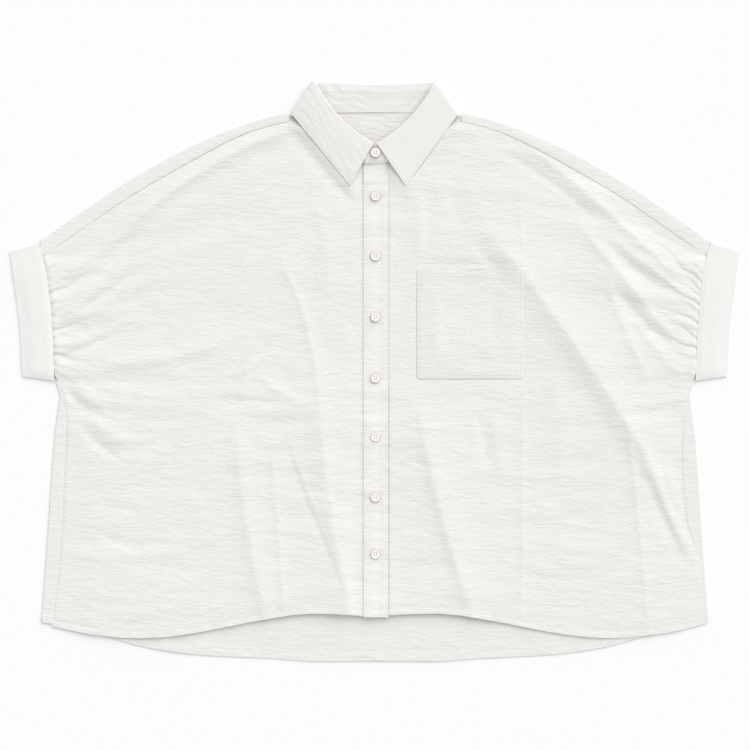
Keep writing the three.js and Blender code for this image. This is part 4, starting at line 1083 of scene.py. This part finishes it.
def make_buttons():
    shape = button_mesh()
    for number, y in enumerate(BUTTON_YS, 1):
        node = f"button_{number}"
        low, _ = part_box(node)
        tilt = 0.1 * math.sin(5.1 * number)
        c, s = math.cos(tilt), math.sin(tilt)
        mesh = shape.copy()
        centre = Vector((BUTTON_X * MM, y * MM, low.z))
        for vertex in mesh.vertices:
            across, along, z = vertex.co
            turned = (across * c - along * s, across * s + along * c, z)
            vertex.co = centre + Vector(turned) * MM
        piece = add_object(f"shirt_button_{number}", mesh, pearl)
        # Painted shade: the rim and the holes' walls take a brownish dark colour, for the shade around the
        # button's rim and in its holes.
        mesh.materials.append(button_painted_shade)
        steep = [int(face.normal.z < 0.7) for face in mesh.polygons]
        mesh.polygons.foreach_set("material_index", steep)
        mesh.set_sharp_from_angle(angle=math.radians(45))
        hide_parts(node)
        # Two bars of thread, each from hole to hole.
        z = low.z / MM + 2.2
        bars = []
        for side in (-HOLE_SPREAD, HOLE_SPREAD):
            ends = [
                (BUTTON_X + side * c - along * s, y + side * s + along * c, z)
                for along in (-HOLE_SPREAD, HOLE_SPREAD)
            ]
            bars.append(np.array(ends))
        make_stitches(f"button_thread_{number}", bars, pitch=2 * HOLE_SPREAD, stitch=3.1, radius=0.28)


right_front = make_front("right")
left_front = make_front("left")
placket = make_placket()
pocket = make_pocket()
back = make_back()
cuffs = [make_cuff("right", -1), make_cuff("left", 1)]
net = collar_net()
fall = make_fall(net)
stand = make_stand(net)
sew_body()
sew_collar(net)
make_buttons()

# The surface, the camera straight above it and a soft light from the upper right.
floor_mesh = bpy.data.meshes.new("surface")
reach = 3.0
corners = [(-reach, -reach, 0), (reach, -reach, 0), (reach, reach, 0), (-reach, reach, 0)]
floor_mesh.from_pydata(corners, [], [(0, 1, 2, 3)])
floor = add_to_scene("surface", floor_mesh)
floor_material, _, _, floor_shader = new_material("surface_white")
FLOOR_COLOR = (0.928, 0.927, 0.926, 1)
set_inputs(floor_shader, {"Base Color": FLOOR_COLOR, "Roughness": 1.0, "Specular IOR Level": 0.0})
floor_mesh.materials.append(floor_material)

PICTURE_WIDTH = 0.8625  # of the surface, across the picture
CAMERA_HEIGHT = 3.0
PICTURE_CENTRE_Y = -0.004
FRONT_LEVEL = 0.003  # of the cloth that the picture's width is measured on
camera_data = bpy.data.cameras.new("camera")
camera_data.sensor_width = 36
camera_data.lens = camera_data.sensor_width * CAMERA_HEIGHT / PICTURE_WIDTH
camera_data.clip_end = 20
camera = add_to_scene("camera", camera_data)
camera.location = (0, PICTURE_CENTRE_Y, CAMERA_HEIGHT + FRONT_LEVEL)
bpy.context.scene.camera = camera

sun_data = bpy.data.lights.new("window", "SUN")
sun_data.energy = 1.85
sun_data.angle = math.radians(58)
sun = add_to_scene("window", sun_data)
TOWARDS_SUN = Vector((0.42, 0.66, 0.66))
sun.rotation_euler = TOWARDS_SUN.to_track_quat("Z", "Y").to_euler()

world = bpy.data.worlds.new("room")
world.use_nodes = True
set_inputs(world.node_tree.nodes["Background"], {"Strength": 0.675, "Color": (1, 1, 1, 1)})
bpy.context.scene.world = world
bpy.context.scene.view_settings.view_transform = "Standard"
